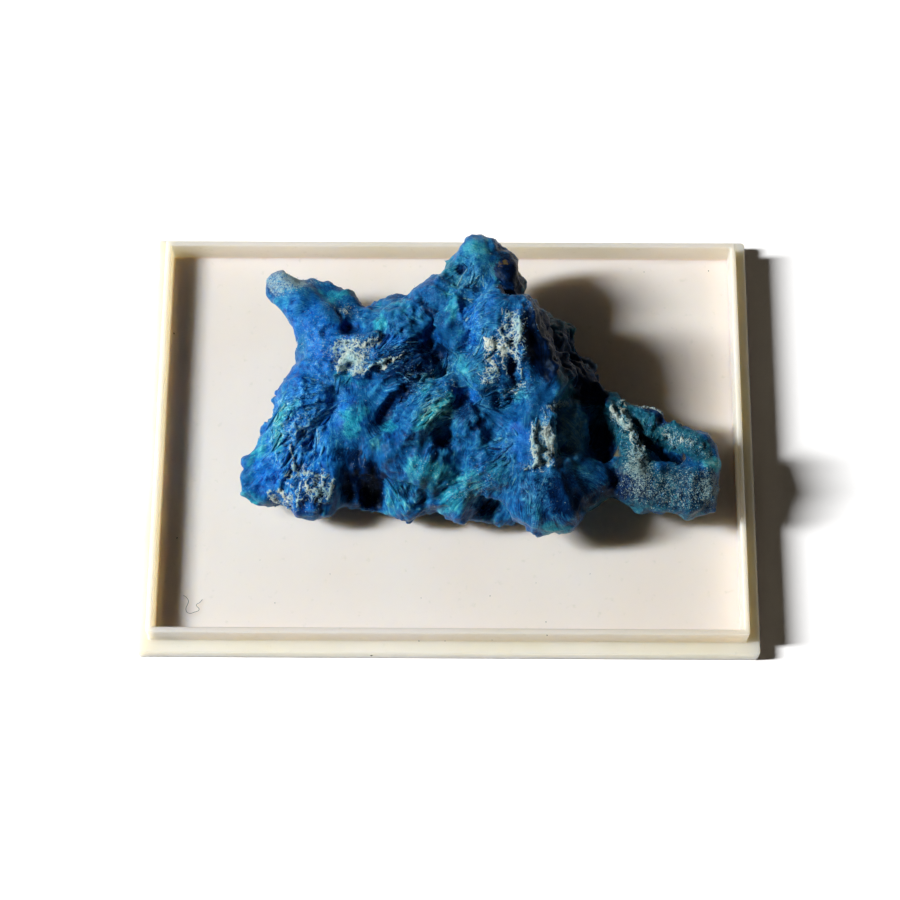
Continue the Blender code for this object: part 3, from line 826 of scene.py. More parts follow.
def patch_mask(surface, patches):
    """The sum of the patches at each point: soft ellipses in pixels, near the skin that shows there."""
    total = np.zeros(len(surface.points))
    for patch in patches:
        hit, ray = behind_pixel(surface.tree, patch.u, patch.v)
        turn = math.radians(patch.turn)
        offset = surface.pixels - np.array((patch.u, patch.v))
        along = offset @ np.array((math.cos(turn), math.sin(turn))) / patch.half_u
        across = offset @ np.array((-math.sin(turn), math.cos(turn))) / patch.half_v
        size = max(patch.half_u, patch.half_v) / FOCAL * np.linalg.norm(hit - np.array(CAMERA_PLACE))
        depth = np.abs((surface.points - hit) @ ray)
        inside = smooth_step(1.35, 0.45, np.hypot(along, across))
        total = total + patch.amount * inside * smooth_step(2.2 * size + 5.0, 0.8 * size + 2.5, depth)
    return total


def stroke_mask(surface, strokes):
    """The sum of the strokes at each point: a rounded ridge over the distance, in pixels, from a line."""
    total = np.zeros(len(surface.points))
    for stroke in strokes:
        start = np.array((stroke.u0, stroke.v0), float)
        run = np.array((stroke.u1, stroke.v1), float) - start
        offset = surface.pixels - start
        share = np.clip(offset @ run / (run @ run), 0.0, 1.0)
        distance = np.linalg.norm(offset - share[:, None] * run, axis=1)
        hit, ray = behind_pixel(surface.tree, *(start + run / 2))
        depth = np.abs((surface.points - hit) @ ray)
        near = smooth_step(9.0, 4.0, depth)
        total = total + stroke.amount * smooth_step(stroke.width, 0.0, distance) * near
    return total


def strand_mask(surface):
    """The crust's strands at each point, 0 to 1: broken up where the lace is open."""
    strokes = [Stroke(place, *ends, STRAND_WIDTH) for place, lines in STRANDS.items() for ends in lines]
    whole = np.clip(stroke_mask(surface, strokes), 0.0, 1.0)
    return whole * (0.45 + 0.65 * crust_lace(surface.points))


# Materials

PER_METRE = 1.0 / MM
# Colours along the needles, from dark to light, for each kind of crystal and for the painted shade.
RAMPS = {
    "blue": ("#021230", "#063466", "#10548a", "#2e7c9e", "#7cb0b4"),
    "indigo": ("#021248", "#063886", "#1064b0", "#3486ba", "#84b4c8"),
    "turquoise": ("#022e44", "#08587a", "#1c829c", "#44a6ae", "#92ccc4"),
    "teal_and_painted_shade": ("#010a12", "#052a3c", "#0e4a60", "#2c6a74", "#769a94"),
    "navy_and_painted_shade": ("#010206", "#010c24", "#021a44", "#063466", "#14547e"),
}
CRYSTAL_IOR = 1.53
POLYSTYRENE_IOR = 1.59
# Properties of the nodes that the finishes share.
S_CURVE = {"interpolation_type": "SMOOTHSTEP"}
TIMES_PLUS = {"operation": "MULTIPLY_ADD"}
COLOURS = {"data_type": "RGBA", "blend_type": "MIX"}


def set_up(tree, node, settings):
    """Sets a node's properties by name, and its sockets by name or number.

    A socket takes a value, a hex colour or the output that is linked to it.
    """
    for name, value in settings.items():
        if isinstance(name, str) and name not in node.inputs:
            setattr(node, name, value)
        elif isinstance(value, bpy.types.NodeSocket):
            tree.links.new(value, node.inputs[name])
        elif isinstance(value, str):
            node.inputs[name].default_value = (*linear(value), 1.0)
        else:
            node.inputs[name].default_value = value


def add_node(tree, kind, settings, output=0):
    """Adds a node with its settings and links, and gives one of its outputs."""
    node = tree.nodes.new("ShaderNode" + kind)
    set_up(tree, node, settings)
    return node.outputs[output]


def new_material(name):
    """A material with a Principled shader, its tree and the shader."""
    material = bpy.data.materials.new(name)
    material.use_nodes = True
    tree = material.node_tree
    return material, tree, tree.nodes["Principled BSDF"]


def covered(tree, colour, coat, amount, low, high, most=1.0, terms=()):
    """A colour under a coat, and the coat's share.

    The amount is added to by each term's source times its factor. The share rises by an S-curve from
    none, where the amount is low, to the most, where it is high.
    """
    for source, factor in terms:
        amount = add_node(tree, "Math", {**TIMES_PLUS, 0: source, 1: factor, 2: amount})
    share = add_node(tree, "MapRange", {**S_CURVE, 0: amount, 1: low, 2: high, 4: most})
    return add_node(tree, "Mix", {**COLOURS, 0: share, 6: colour, 7: coat}, 2), share


def crystal_material(settings):
    """Fibrous chalcanthite: hydrous copper sulphate, glassy where clear and waxy where the needles mat.

    To the eye it is deep blue where light sinks in, azure and turquoise along the needles, frosted where
    it has dried, and dusty white where a porous crust has formed. Painted shade darkens its hollows and
    the faces turned from the light, and a painted highlight lightens its raised crests.
    """
    material, tree, shader = new_material(CRYSTAL)
    place = add_node(tree, "TexCoord", {}, "Object")
    needle = add_node(tree, "Attribute", {"attribute_name": "needle"}, "Vector")
    stored = {name: add_node(tree, "Attribute", {"attribute_name": name}, "Fac")
              for name in ("shade", "crest", "fibrous", *PATCHES)}
    # Along the needles a scale counts streaks; elsewhere PER_METRE / size gives lumps of that size in mm.
    broad, streak, cloud, patchy, grain, salt, powder = [
        add_node(tree, "TexNoise", {
            "Vector": vector, "Scale": scale, "Detail": detail, "Roughness": roughness})
        for vector, scale, detail, roughness in (
            (needle, 12.0, 3.0, 0.6), (needle, 36.0, 3.0, 0.65), (place, PER_METRE / 5.0, 4.0, 0.6),
            (place, PER_METRE / 1.8, 4.0, 0.7), (place, PER_METRE / 0.8, 3.0, 0.8),
            (place, PER_METRE / 0.5, 2.0, 0.7), (place, PER_METRE / 0.26, 2.0, 0.8))]
    wander = add_node(
        tree, "TexNoise", {"Vector": place, "Scale": PER_METRE / 1.6, "Detail": 2.0}, "Color")
    bent = add_node(tree, "VectorMath", {**TIMES_PLUS, 0: wander, 1: (1.1 * MM,) * 3, 2: place})
    # How far each point is from the edges of cells: across the needles, and of wide and small holes.
    across, wide, small = [
        add_node(tree, "TexVoronoi", {"feature": "DISTANCE_TO_EDGE", "Vector": vector, "Scale": scale})
        for vector, scale in ((needle, 22.0), (bent, PER_METRE / 1.5), (bent, PER_METRE / 0.8))]
    line = add_node(tree, "MapRange", {**S_CURVE, 0: across, 1: 0.08, 2: 0.0})
    line = add_node(tree, "Math", {"operation": "MULTIPLY", 0: stored["fibrous"], 1: line})
    # The stored shade brings painted light and shade into the tone: lighter on raised crests and lit
    # patches, darker in hollows and on shaded patches.
    thread = stored["shade"]
    for source, factor in (
            (streak, 3.4), (broad, 2.6), (grain, 1.2), (patchy, 1.7), (cloud, 2.4), (line, 1.2)):
        thread = add_node(tree, "Math", {**TIMES_PLUS, 0: source, 1: factor, 2: thread})
    tone = add_node(tree, "MapRange", {0: thread, 1: 3.95, 2: 7.9})
    ramps = {}
    for kind, codes in RAMPS.items():
        ramps[kind] = add_node(tree, "ValToRGB", {0: tone})
        stops = ramps[kind].node.color_ramp.elements
        for order in range(1, len(codes) - 1):
            stops.new(order / (len(codes) - 1))
        for stop, code in zip(stops, codes):
            stop.color = (*linear(code), 1.0)

    wide = add_node(tree, "MapRange", {**S_CURVE, 0: wide, 1: 0.11, 2: 0.02})
    small = add_node(tree, "MapRange", {**S_CURVE, 0: small, 1: 0.10, 2: 0.02, 4: 0.6})
    lace = add_node(tree, "Math", {"operation": "MAXIMUM", 0: wide, 1: small})
    laced = add_node(tree, "Math", {"operation": "MULTIPLY", 0: stored["crust"], 1: lace})
    solid = add_node(tree, "Math", {"operation": "MULTIPLY", 0: stored["crust"], 1: stored["crust"]})
    dust = add_node(tree, "Math", {**TIMES_PLUS, 0: powder, 1: 0.6, 2: salt})
    pale, _ = covered(tree, "#8cb0b0", "#c6cbbc", cloud, 0.35, 0.65)
    colour = ramps["blue"]
    shares = {}
    for kind, coat, amount, low, high, most, terms in (
            ("indigo", ramps["indigo"], stored["indigo"], -0.5, 0.3, 1.0, ((cloud, -2.0), (patchy, 0.8))),
            ("turquoise", ramps["turquoise"], stored["turquoise"], 1.6, 2.5, 1.0,
             ((cloud, 1.4), (patchy, 1.4))),
            # Painted shade: a dull, dark green coat on faces turned from the light.
            ("teal_and_painted_shade", ramps["teal_and_painted_shade"], stored["teal_and_painted_shade"], 1.2, 2.0, 1.0, ((cloud, 1.0), (patchy, 0.8))),
            # Painted shade: the deep coat also grows where the tone is low, in sunk hollows and on shaded
            # patches.
            ("navy_and_painted_shade", ramps["navy_and_painted_shade"], stored["navy_and_painted_shade"], -0.1, 1.0, 0.96, ((tone, -1.6), (patchy, 0.8))),
            ("crust", pale, laced, 0.95, 1.6, 0.9, ((solid, 0.2), (dust, 0.85))),
            # The frost coat also whitens raised crests through the stored crest: a painted highlight.
            ("frost", "#94aaa4", powder, 0.90, 1.10, 0.7,
             ((stored["frost"], 0.2), (salt, 0.5), (stored["crest"], 0.17))),
            ("stain", "#6a5a2a", stored["stain"], 1.5, 2.2, 0.7, ((salt, 1.8),))):
        colour, shares[kind] = covered(tree, colour, coat, amount, low, high, most, terms)

    dusty = add_node(tree, "Math", {"operation": "MAXIMUM", 0: shares["crust"], 1: shares["frost"]})
    relief = {}
    for height, strength, depth in (
            (streak, 0.4, 0.2), (patchy, 0.6, 0.4), (salt, 0.5, 0.25), (laced, 1.0, 0.25)):
        relief = {"Normal": add_node(tree, "Bump", {
            "Strength": settings.bump * strength, "Distance": depth * MM, "Height": height, **relief})}
    set_up(tree, shader, {
        "Base Color": colour,
        "Roughness": add_node(tree, "MapRange", {**S_CURVE, 0: dusty, 3: 0.34, 4: 0.6}),
        "IOR": CRYSTAL_IOR, "Specular IOR Level": 0.1, "Specular Tint": "#a4c8ec",
        "Subsurface Weight": settings.glow, "Subsurface Radius": (1.1, 1.2, 1.3), "Subsurface Scale": MM,
        **relief})
    return material


def crust_material():
    """Dried chalcanthite crust: powdery threads, white to bluish grey, that scatter all light."""
    material, tree, shader = new_material("dried chalcanthite threads")
    place = add_node(tree, "TexCoord", {}, "Object")
    cloud = add_node(tree, "TexNoise", {"Vector": place, "Scale": PER_METRE / 2.5, "Detail": 3.0})
    grain = add_node(tree, "TexNoise", {"Vector": place, "Scale": PER_METRE / 0.3, "Detail": 2.0})
    colour, _ = covered(tree, "#88b4bc", "#ccd4c6", cloud, 0.35, 0.65)
    colour, _ = covered(tree, colour, "#2f78a4", grain, 0.5, 0.75, 0.5)
    set_up(tree, shader, {"Base Color": colour, "Roughness": 0.6, "IOR": CRYSTAL_IOR})
    return material


def grain_material():
    """Clear chalcanthite grains: glassy facets, pale blue to white, that glint as they turn."""
    material, tree, shader = new_material("glassy chalcanthite grains")
    white = add_node(tree, "Attribute", {"attribute_name": "white"}, "Fac")
    colour, _ = covered(tree, "#2474bc", "#9cc0d4", white, 0.0, 1.0)
    set_up(tree, shader, {"Base Color": colour, "Roughness": 0.12, "IOR": CRYSTAL_IOR})
    return material


# From the tray's middle, in mm: where the floor's colour starts to fade and where it has ended.
INSIDE = {"X": (56.3, 56.6), "Y": (39.8, 40.1)}
# The same above the floor.
RISE = (0.1, 0.8)


def tray_material(settings):
    """Moulded polystyrene, cream and a little yellowed: smooth, and aglow where light comes through."""
    material, tree, shader = new_material("moulded cream polystyrene")
    place = add_node(tree, "TexCoord", {}, "Object")
    cloud, grain = [
        add_node(tree, "TexNoise", {"Vector": place, "Scale": PER_METRE / size, "Detail": 3.0})
        for size in (30.0, 1.5)]
    height = add_node(tree, "SeparateXYZ", {"Vector": place}, "Z")
    low, high = [(FLOOR_TOP + rise) * MM for rise in RISE]
    rim = add_node(tree, "MapRange", {**S_CURVE, 0: height, 1: low, 2: high})
    for axis, (start, end) in INSIDE.items():
        beyond = add_node(tree, "SeparateXYZ", {"Vector": place}, axis)
        beyond = add_node(tree, "Math", {"operation": "ABSOLUTE", 0: beyond})
        beyond = add_node(tree, "MapRange", {**S_CURVE, 0: beyond, 1: start * MM, 2: end * MM})
        rim = add_node(tree, "Math", {"operation": "MAXIMUM", 0: rim, 1: beyond})
    cream, _ = covered(tree, (*settings.rim, 1.0), "#e0d2b8", cloud, 0.35, 0.7)
    floor, _ = covered(tree, (*settings.floor, 1.0), "#f2dacb", cloud, 0.35, 0.7)
    colour = add_node(tree, "Mix", {**COLOURS, 0: rim, 6: floor, 7: cream}, 2)
    colour, _ = covered(tree, colour, "#c4b69c", grain, 0.62, 0.8, 0.25)
    set_up(tree, shader, {
        "Base Color": colour,
        "Roughness": add_node(tree, "MapRange", {**S_CURVE, 0: grain, 1: 0.3, 2: 0.8, 3: 0.34, 4: 0.5}),
        "Normal": add_node(tree, "Bump", {"Strength": 0.15, "Distance": 0.05 * MM, "Height": grain}),
        "IOR": POLYSTYRENE_IOR, "Subsurface Weight": 1.0, "Subsurface Radius": (6.0, 5.0, 3.4),
        "Subsurface Scale": add_node(tree, "MapRange", {**S_CURVE, 0: rim, 3: MM, 4: 1.7 * MM})})
    return material


def plain_material(name, code, roughness):
    """One plain finish for what is smaller than its own pattern, or for the studio floor."""
    material, tree, shader = new_material(name)
    set_up(tree, shader, {"Base Color": code, "Roughness": roughness})
    return material


# Settings

def amount_of(name, description, default, **extra):
    """A setting that holds one number."""
    return FloatProperty(name=name, description=description, default=default, **extra)


def colour_of(name, description, code):
    """A setting that holds one colour."""
    return FloatVectorProperty(name=name, description=description, subtype="COLOR", default=linear(code))


def count_of(name, description, default):
    """A setting that holds a number of things."""
    return IntProperty(name=name, description=description, default=default)


class SpecimenSettings(bpy.types.PropertyGroup):
    """Sizes, amounts and colours of the specimen's looks."""
    coarse: amount_of("Coarse voxel", "Fineness of the skin before bundles grow on it", 0.42 * MM,
                      unit="LENGTH", precision=5)
    fine: amount_of("Fine voxel", "Fineness of the skin before fibres grow on it", 0.30 * MM,
                    unit="LENGTH", precision=5)
    triangles: count_of("Triangles", "Most triangles of the finished skin", 194000)
    bundle: amount_of("Bundle height", "Height of the bundles of needles, in mm", 0.75)
    fibre: amount_of("Fibre height", "Height of single fibres, in mm", 0.22)
    lump: amount_of("Lump height", "Height of rounded growth, in mm", 0.5)
    undercut: amount_of("Undercut", "How far the foot draws in at the floor, in mm", 2.8)
    sponge: amount_of("Sponge height", "Height of the walls of spongy growth, in mm", 0.7)
    lace: amount_of("Crust height", "Height of the porous crust's walls, in mm", 0.26)
    laths: count_of("Laths", "Number of broad laths that are tried", 800)
    needles: count_of("Needles", "Number of fine needles that are tried", 1700)
    threads: count_of("Threads", "Number of the crust's threads that are tried", 120)
    granules: count_of("Granules", "Number of the crust's granules", 5500)
    grains: count_of("Grains", "Number of crystal grains", 9000)
    bump: amount_of("Bump", "Strength of relief finer than the mesh", 0.7, subtype="FACTOR")
    glow: amount_of("Glow", "Share of light that scatters inside", 0.65, subtype="FACTOR")
    rim: colour_of("Rim", "Colour of the tray's walls and ledge", "#e8dac6")
    floor: colour_of("Floor", "Colour of the tray's floor", "#f7dfd1")


class StudioSettings(bpy.types.PropertyGroup):
    """Strengths and angles of the studio light."""
    power: amount_of("Key", "Power of the key light's soft box", 45.5, unit="POWER")
    away: amount_of("Distance", "From the tray to the soft box", 1.6, unit="LENGTH")
    tall: amount_of("Tall", "Height of the soft box", 0.46, unit="LENGTH")
    wide: amount_of("Wide", "Width of the soft box", 0.13, unit="LENGTH")
    height: amount_of("Height", "Height of the key light above the floor", math.radians(43.0),
                      subtype="ANGLE")
    side: amount_of("Side", "Turn of the key light from the left towards the front", math.radians(5.0),
                    subtype="ANGLE")
    fill: amount_of("Fill", "Strength of the light from all round", 0.034)


# The specimen's skin

def bundle_ridges(direction, distance, fineness, salt):
    """Rounded ridges that run along the needles, with sharp valleys and a level of their own, -1 to 1.

    A ridge is a cell of scattered seeds on the sphere of directions from its root. Its height is the
    root of how much nearer its seed is than the next one.
    """
    along = (1.0 + 0.012 * distance)[:, None]
    nearest, second, level = nearest_seeds(direction * along * fineness, salt)
    crest = np.sqrt(np.clip((second - nearest) / 0.5, 0.0, 1.0))
    return 0.9 * crest - 0.6 + 0.7 * (level - 0.5)


def sponge_walls(points, size, salt):
    """Uneven cells, -1 to 1: hollows inside raised walls, or lumps where slow noise turns them over."""
    cells = points / size
    bent = cells + np.stack([0.45 * rough(cells, salt + axis * 10, 2) for axis in range(3)], axis=1)
    nearest, second, level = nearest_seeds(bent, salt)
    hollow = smooth_step(0.0, 0.6, second - nearest)
    turn = 2.0 * smooth_step(-0.3, 0.3, noise(points / 8.0, salt + 7)) - 1.0
    return turn * (1.0 - 2.0 * hollow) * (0.6 + 0.8 * level)


# How fine the ridges of needles are on the sphere of directions from their root.
BUNDLES = 9.0
SPLIT_BUNDLES = 17.0
FIBRES = 24.0
# Sizes of growth in mm: spongy cells, rounded lumps, and fine growth between fibres.
WIDE_CELLS = 3.6
SMALL_CELLS = 1.9
SWELL = 3.8
FINE_GROWTH = 1.1
# Sizes in mm of the crust's lace, coarse and fine, and of the noise that bends it.
LACE = 1.9
FINE_LACE = 1.1
LACE_BEND = 1.2


def growth_height(points, direction, distance, fibrous, rugged, settings):
    """Bundles of needles on rounded growth, in mm along the normal."""
    reach = np.clip(distance / 9.0, 0.15, 1.0)
    height = settings.bundle * reach * fibrous * bundle_ridges(direction, distance, BUNDLES, 3)
    height = height + 0.6 * settings.bundle * reach * fibrous * bundle_ridges(
        direction, distance, SPLIT_BUNDLES, 23)
    walls = 0.8 * sponge_walls(points, WIDE_CELLS, 401) + 0.5 * sponge_walls(points, SMALL_CELLS, 451)
    height = height + settings.sponge * rugged * walls
    return height + settings.lump * (rough(points / SWELL, 21, 3) * (0.35 + 0.65 * fibrous))


def fibre_height(points, direction, distance, fibrous, settings):
    """Single fibres: the same ridges as for bundles, finer, with fine growth between; in mm."""
    reach = np.clip(distance / 8.0, 0.2, 1.0)
    height = settings.fibre * reach * fibrous * bundle_ridges(direction, distance, FIBRES, 63)
    return height + 0.12 * rough(points / FINE_GROWTH, 71, 2) * (0.4 + 0.6 * fibrous)


def crust_lace(points):
    """Strands of the crust, 0 to 1: where either of two slow noises passes through nought."""
    shift = np.stack([rough(points / LACE_BEND, salt, 2) for salt in (83, 93, 103)], axis=1)
    bent = points + 0.5 * shift
    coarse = smooth_step(0.30, 0.05, np.abs(noise(bent / LACE, 113)))
    fine = smooth_step(0.30, 0.05, np.abs(noise(bent / FINE_LACE, 123)))
    return np.maximum(coarse, 0.75 * fine)


def grow(mesh, surface, height):
    """Moves each point along its normal by its height, in mm, and keeps it clear of the tray's floor."""
    points = surface.points + surface.normals * height[:, None]
    points[:, 2] = np.maximum(points[:, 2], FLOOR_TOP + REST_GAP)
    put_points(mesh, points)


def undercut(surface, settings):
    """How far, in mm, the foot draws in below the body: most at the floor, nothing on level skin."""
    low = smooth_step(7.2, FLOOR_TOP + 1.2, surface.points[:, 2])
    uneven = 0.8 + 0.6 * rough(surface.points / 6.0, 521, 2)
    return settings.undercut * low * (1.0 - np.abs(surface.normals[:, 2])) * uneven


def fibrous_share(surface):
    """How much bundles of needles stand out at each point: more on fibrous patches, less on glassy."""
    share = 0.25 + patch_mask(surface, FIBROUS) - patch_mask(surface, GLASSY)
    return np.clip(share, 0.04, 1.0)


def hidden_share(surface):
    """1 where a surface faces away from the photograph's camera, 0 where it faces it."""
    towards = np.array(CAMERA_PLACE) - surface.points
    facing = np.sum(towards * surface.normals, axis=1) / np.linalg.norm(towards, axis=1)
    return smooth_step(0.0, -0.35, facing)


# On hidden skin: the kinds of blotches, each with the salt of its noise and its amount.
HIDDEN_BLOTCHES = (
    ("indigo", 301, 0.5), ("turquoise", 311, 0.8), ("teal_and_painted_shade", 301, 0.8), ("frost", 321, 0.6),
    ("crust", 331, 0.8),
)
HIDDEN_FIBROUS = 0.6


def dress(mesh, surface, roots, shade, crest):
    """Stores at each vertex what the crystal's material reads: the needles' direction and the patches.

    Where the photograph shows nothing, blotches of noise stand in for the patches.
    """
    hidden = hidden_share(surface)
    direction, distance = needle_field(surface.points, roots)
    put_direction(mesh, "needle", direction * (1.0 + 0.007 * distance)[:, None])
    values = {name: patch_mask(surface, table) for name, table in PATCHES.items()}
    values["crust"] = np.clip(values["crust"], 0.0, None)
    for name, salt, amount in HIDDEN_BLOTCHES:
        blotch = smooth_step(0.25, 0.75, rough(surface.points / 7.0, salt, 3))
        values[name] = values[name] + amount * hidden * blotch
    values["crust"] = values["crust"] * (0.3 + 0.8 * crust_lace(surface.points))
    values["crust"] = values["crust"] + STRAND_AMOUNT * strand_mask(surface)
    values["fibrous"] = np.maximum(fibrous_share(surface), HIDDEN_FIBROUS * hidden)
    values["shade"] = shade
    values["crest"] = crest
    for name, numbers in values.items():
        put_value(mesh, name, numbers)


# How far a point stands out, in mm, where the painted highlight on raised skin and the painted shade in
# hollows are fullest: from the near skin and from the broad shape.
RAISED = 0.25
SUNK = 0.5


class SPECIMEN_OT_skin(bpy.types.Operator):
    """Grow the specimen's fine skin on its solid"""
    bl_idname = "specimen.skin"
    bl_label = "Grow the skin"

    def execute(self, context):
        settings = context.scene.specimen
        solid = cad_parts["chalcanthite"]
        merged = bmesh.new()
        merged.from_mesh(solid.data)
        bmesh.ops.remove_doubles(merged, verts=merged.verts, dist=1e-6)
        mesh = bpy.data.meshes.new(SKIN)
        merged.to_mesh(mesh)
        merged.free()
        skin = bpy.data.objects.new(SKIN, mesh)
        context.scene.collection.objects.link(skin)

        with_modifier(skin, "REMESH", mode="VOXEL", voxel_size=settings.coarse)
        put_points(skin.data, smoothed(skin.data, arrays_of(skin.data)[0], 6))
        surface = surface_of(skin.data)
        roots = all_roots(surface.tree)
        direction, distance = needle_field(surface.points, roots)
        fibrous = fibrous_share(surface)
        rugged = 0.22 + patch_mask(surface, SPONGY) + 0.5 * hidden_share(surface)
        rugged = np.clip(rugged, 0.0, 1.0)
        height = growth_height(surface.points, direction, distance, fibrous, rugged, settings)
        height = height - patch_mask(surface, DENTS) + stroke_mask(surface, RIDGES)
        lip = np.clip(patch_mask(surface, LIP), 0.0, 1.0)
        grow(skin.data, surface, height - undercut(surface, settings) * (1.0 - lip))

        with_modifier(skin, "REMESH", mode="VOXEL", voxel_size=settings.fine)
        surface = surface_of(skin.data)
        direction, distance = needle_field(surface.points, roots)
        crusted = np.clip(patch_mask(surface, CRUST), 0.0, 1.0)
        height = fibre_height(surface.points, direction, distance, fibrous_share(surface), settings)
        height = height + settings.lace * crusted * (crust_lace(surface.points) - 0.45)
        grow(skin.data, surface, height + settings.lace * strand_mask(surface))
        wanted = settings.triangles / (2.0 * len(skin.data.polygons))
        if wanted < 1.0:
            with_modifier(skin, "DECIMATE", ratio=wanted)
        one_shell(skin.data)

        surface = surface_of(skin.data, surface.tree)
        near = smoothed(skin.data, surface.points, 8)
        far = smoothed(skin.data, near, 30)
        raised = np.sum((surface.points - near) * surface.normals, axis=1) / RAISED
        raised = np.clip(raised, -1.0, 1.0)
        sunk = np.clip(np.sum((near - far) * surface.normals, axis=1) / SUNK, -1.0, 1.0)
        # Painted light and shade: raised crests lighter, sunk hollows darker, and the painted patches
        # added on top.
        shade = raised + 0.6 * sunk + patch_mask(surface, PAINTED_LIGHT_SHADE_AND_TONE)
        dress(skin.data, surface, roots, shade, raised)

        skin.data.materials.clear()
        skin.data.materials.append(crystal_material(settings))
        skin.data.shade_smooth()
        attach(skin, "root")
        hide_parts("chalcanthite")
        return {"FINISHED"}


def shrunk(points, target):
    """The point of the target's surface nearest each point, in mm."""
    mesh = bpy.data.meshes.new("feelers")
    mesh.vertices.add(len(points))
    put_points(mesh, points)
    feelers = bpy.data.objects.new("feelers", mesh)
    bpy.context.scene.collection.objects.link(feelers)
    with_modifier(feelers, "SHRINKWRAP", target=target, wrap_method="NEAREST_SURFACEPOINT")
    nearest = arrays_of(feelers.data)[0]
    bpy.data.objects.remove(feelers)
    return nearest


def picked(weights, wanted, chance):
    """Places in an array, picked by chance in proportion to their weights."""
    return chance.choice(len(weights), wanted, p=weights / weights.sum())


def unit(vectors):
    """The vectors at length 1."""
    return vectors / (np.linalg.norm(vectors, axis=1, keepdims=True) + 1e-9)


# Rods laid on the skin, in mm: how long and wide, how rare the long and the wide ones are, how far they
# stray from the needles, swing sideways, hug the skin's bends and may bend, how flat they are and how
# high they lie.
Rods = namedtuple("Rods", "short long rare_long thin thick rare_thick stray sway hug bend flat low high")
LATHS = Rods(short=2.5, long=8.0, rare_long=2.0, thin=0.16, thick=0.5, rare_thick=1.5, stray=0.12,
             sway=0.02, hug=0.35, bend=0.12, flat=0.45, low=-0.16, high=0.02)
NEEDLES = Rods(short=1.4, long=4.5, rare_long=2.0, thin=0.05, thick=0.12, rare_thick=1.5, stray=0.12,
               sway=0.02, hug=0.5, bend=0.12, flat=0.9, low=-0.04, high=0.08)
THREADS = Rods(short=0.8, long=2.6, rare_long=1.5, thin=0.03, thick=0.07, rare_thick=1.0, stray=0.3,
               sway=0.12, hug=1.0, bend=0.4, flat=0.9, low=-0.03, high=0.03)
# A rod has a point at each end and four rings of four corners between.
ROD_STATIONS = np.array((0.0, 0.1, 0.37, 0.63, 0.9, 1.0))
ROD_GIRTHS = np.array((0.0, 0.8, 1.0, 0.95, 0.65, 0.0))
ROD_POINTS = 18
TIP = ROD_POINTS - 1


def copied_faces(faces, count, step):
    """One shape's triangles again for each of its copies, whose points follow one another."""
    return (faces[None, :, :] + (np.arange(count) * step)[:, None, None]).reshape(-1, 3)


def joined(first, second):
    """Points and triangles of two shapes as one."""
    return np.concatenate((first[0], second[0])), np.concatenate((first[1], second[1] + len(first[0])))


def rod_faces():
    """Triangles of one rod: its ends are its first point and its tip."""
    faces = []
    for corner in range(4):
        after = (corner + 1) % 4
        faces.append((0, 1 + corner, 1 + after))
        faces.append((TIP, TIP - 4 + after, TIP - 4 + corner))
        for ring in range(3):
            a = 1 + ring * 4 + corner
            b = 1 + ring * 4 + after
            faces.append((a, a + 4, b + 4))
            faces.append((a, b + 4, b))
    return np.array(faces)


def laid_rods(skin, start, out, along, rods, share, chance):
    """Points and triangles of rods laid on the skin; share shortens each of them.

    A rod's spine is a line through its start that swings sideways by a sine. It is drawn to the skin,
    wholly or in part, and a rod that would then bend or shorten too much is left out. The section is a
    four-cornered ring whose girth falls to nothing at both ends.
    """
    wanted = len(start)
    along = along + rods.stray * chance.normal(size=(wanted, 3))
    along = unit(along - np.sum(along * out, axis=1)[:, None] * out)
    length = (rods.short + (rods.long - rods.short) * chance.random(wanted) ** rods.rare_long) * share
    width = rods.thin + (rods.thick - rods.thin) * chance.random(wanted) ** rods.rare_thick
    side = unit(np.cross(along, out))
    phase = chance.uniform(0.0, 2.0 * math.pi, wanted)
    spine = []
    for station in ROD_STATIONS:
        swing = rods.sway * length * np.sin(4.0 * station + phase)
        spine.append(start + along * (length * (station - 0.5))[:, None] + side * swing[:, None])
    wrapped = shrunk(np.concatenate(spine), skin).reshape(len(spine), -1, 3)
    line = wrapped[:1] + ROD_STATIONS[:, None, None] * (wrapped[-1:] - wrapped[:1])
    bow = np.linalg.norm(wrapped - line, axis=2).max(axis=0)
    kept = np.linalg.norm(wrapped[-1] - wrapped[0], axis=1) > 0.7 * length
    kept = np.flatnonzero(kept & (bow < rods.bend * length))
    curve = (line + rods.hug * (wrapped - line))[:, kept]
    out, side, width = out[kept], side[kept], width[kept]
    lift = chance.uniform(rods.low, rods.high, len(kept))[:, None] * out
    turn = chance.uniform(-0.6, 0.6, len(kept))
    rings = [curve[0] + lift]
    for station in range(1, 5):
        girth = ROD_GIRTHS[station] * width
        for corner in range(4):
            angle = turn + corner * math.pi / 2.0
            offset = (np.cos(angle) * girth)[:, None] * side
            offset = offset + (np.sin(angle) * girth * rods.flat)[:, None] * out
            rings.append(curve[station] + lift + offset)
    rings.append(curve[5] + lift)
    points = np.stack(rings, axis=1).reshape(-1, 3)
    return points, copied_faces(rod_faces(), len(kept), ROD_POINTS)


# No blade or grain is laid on the lowest millimetre above the tray's floor.
FOOT = 1.0


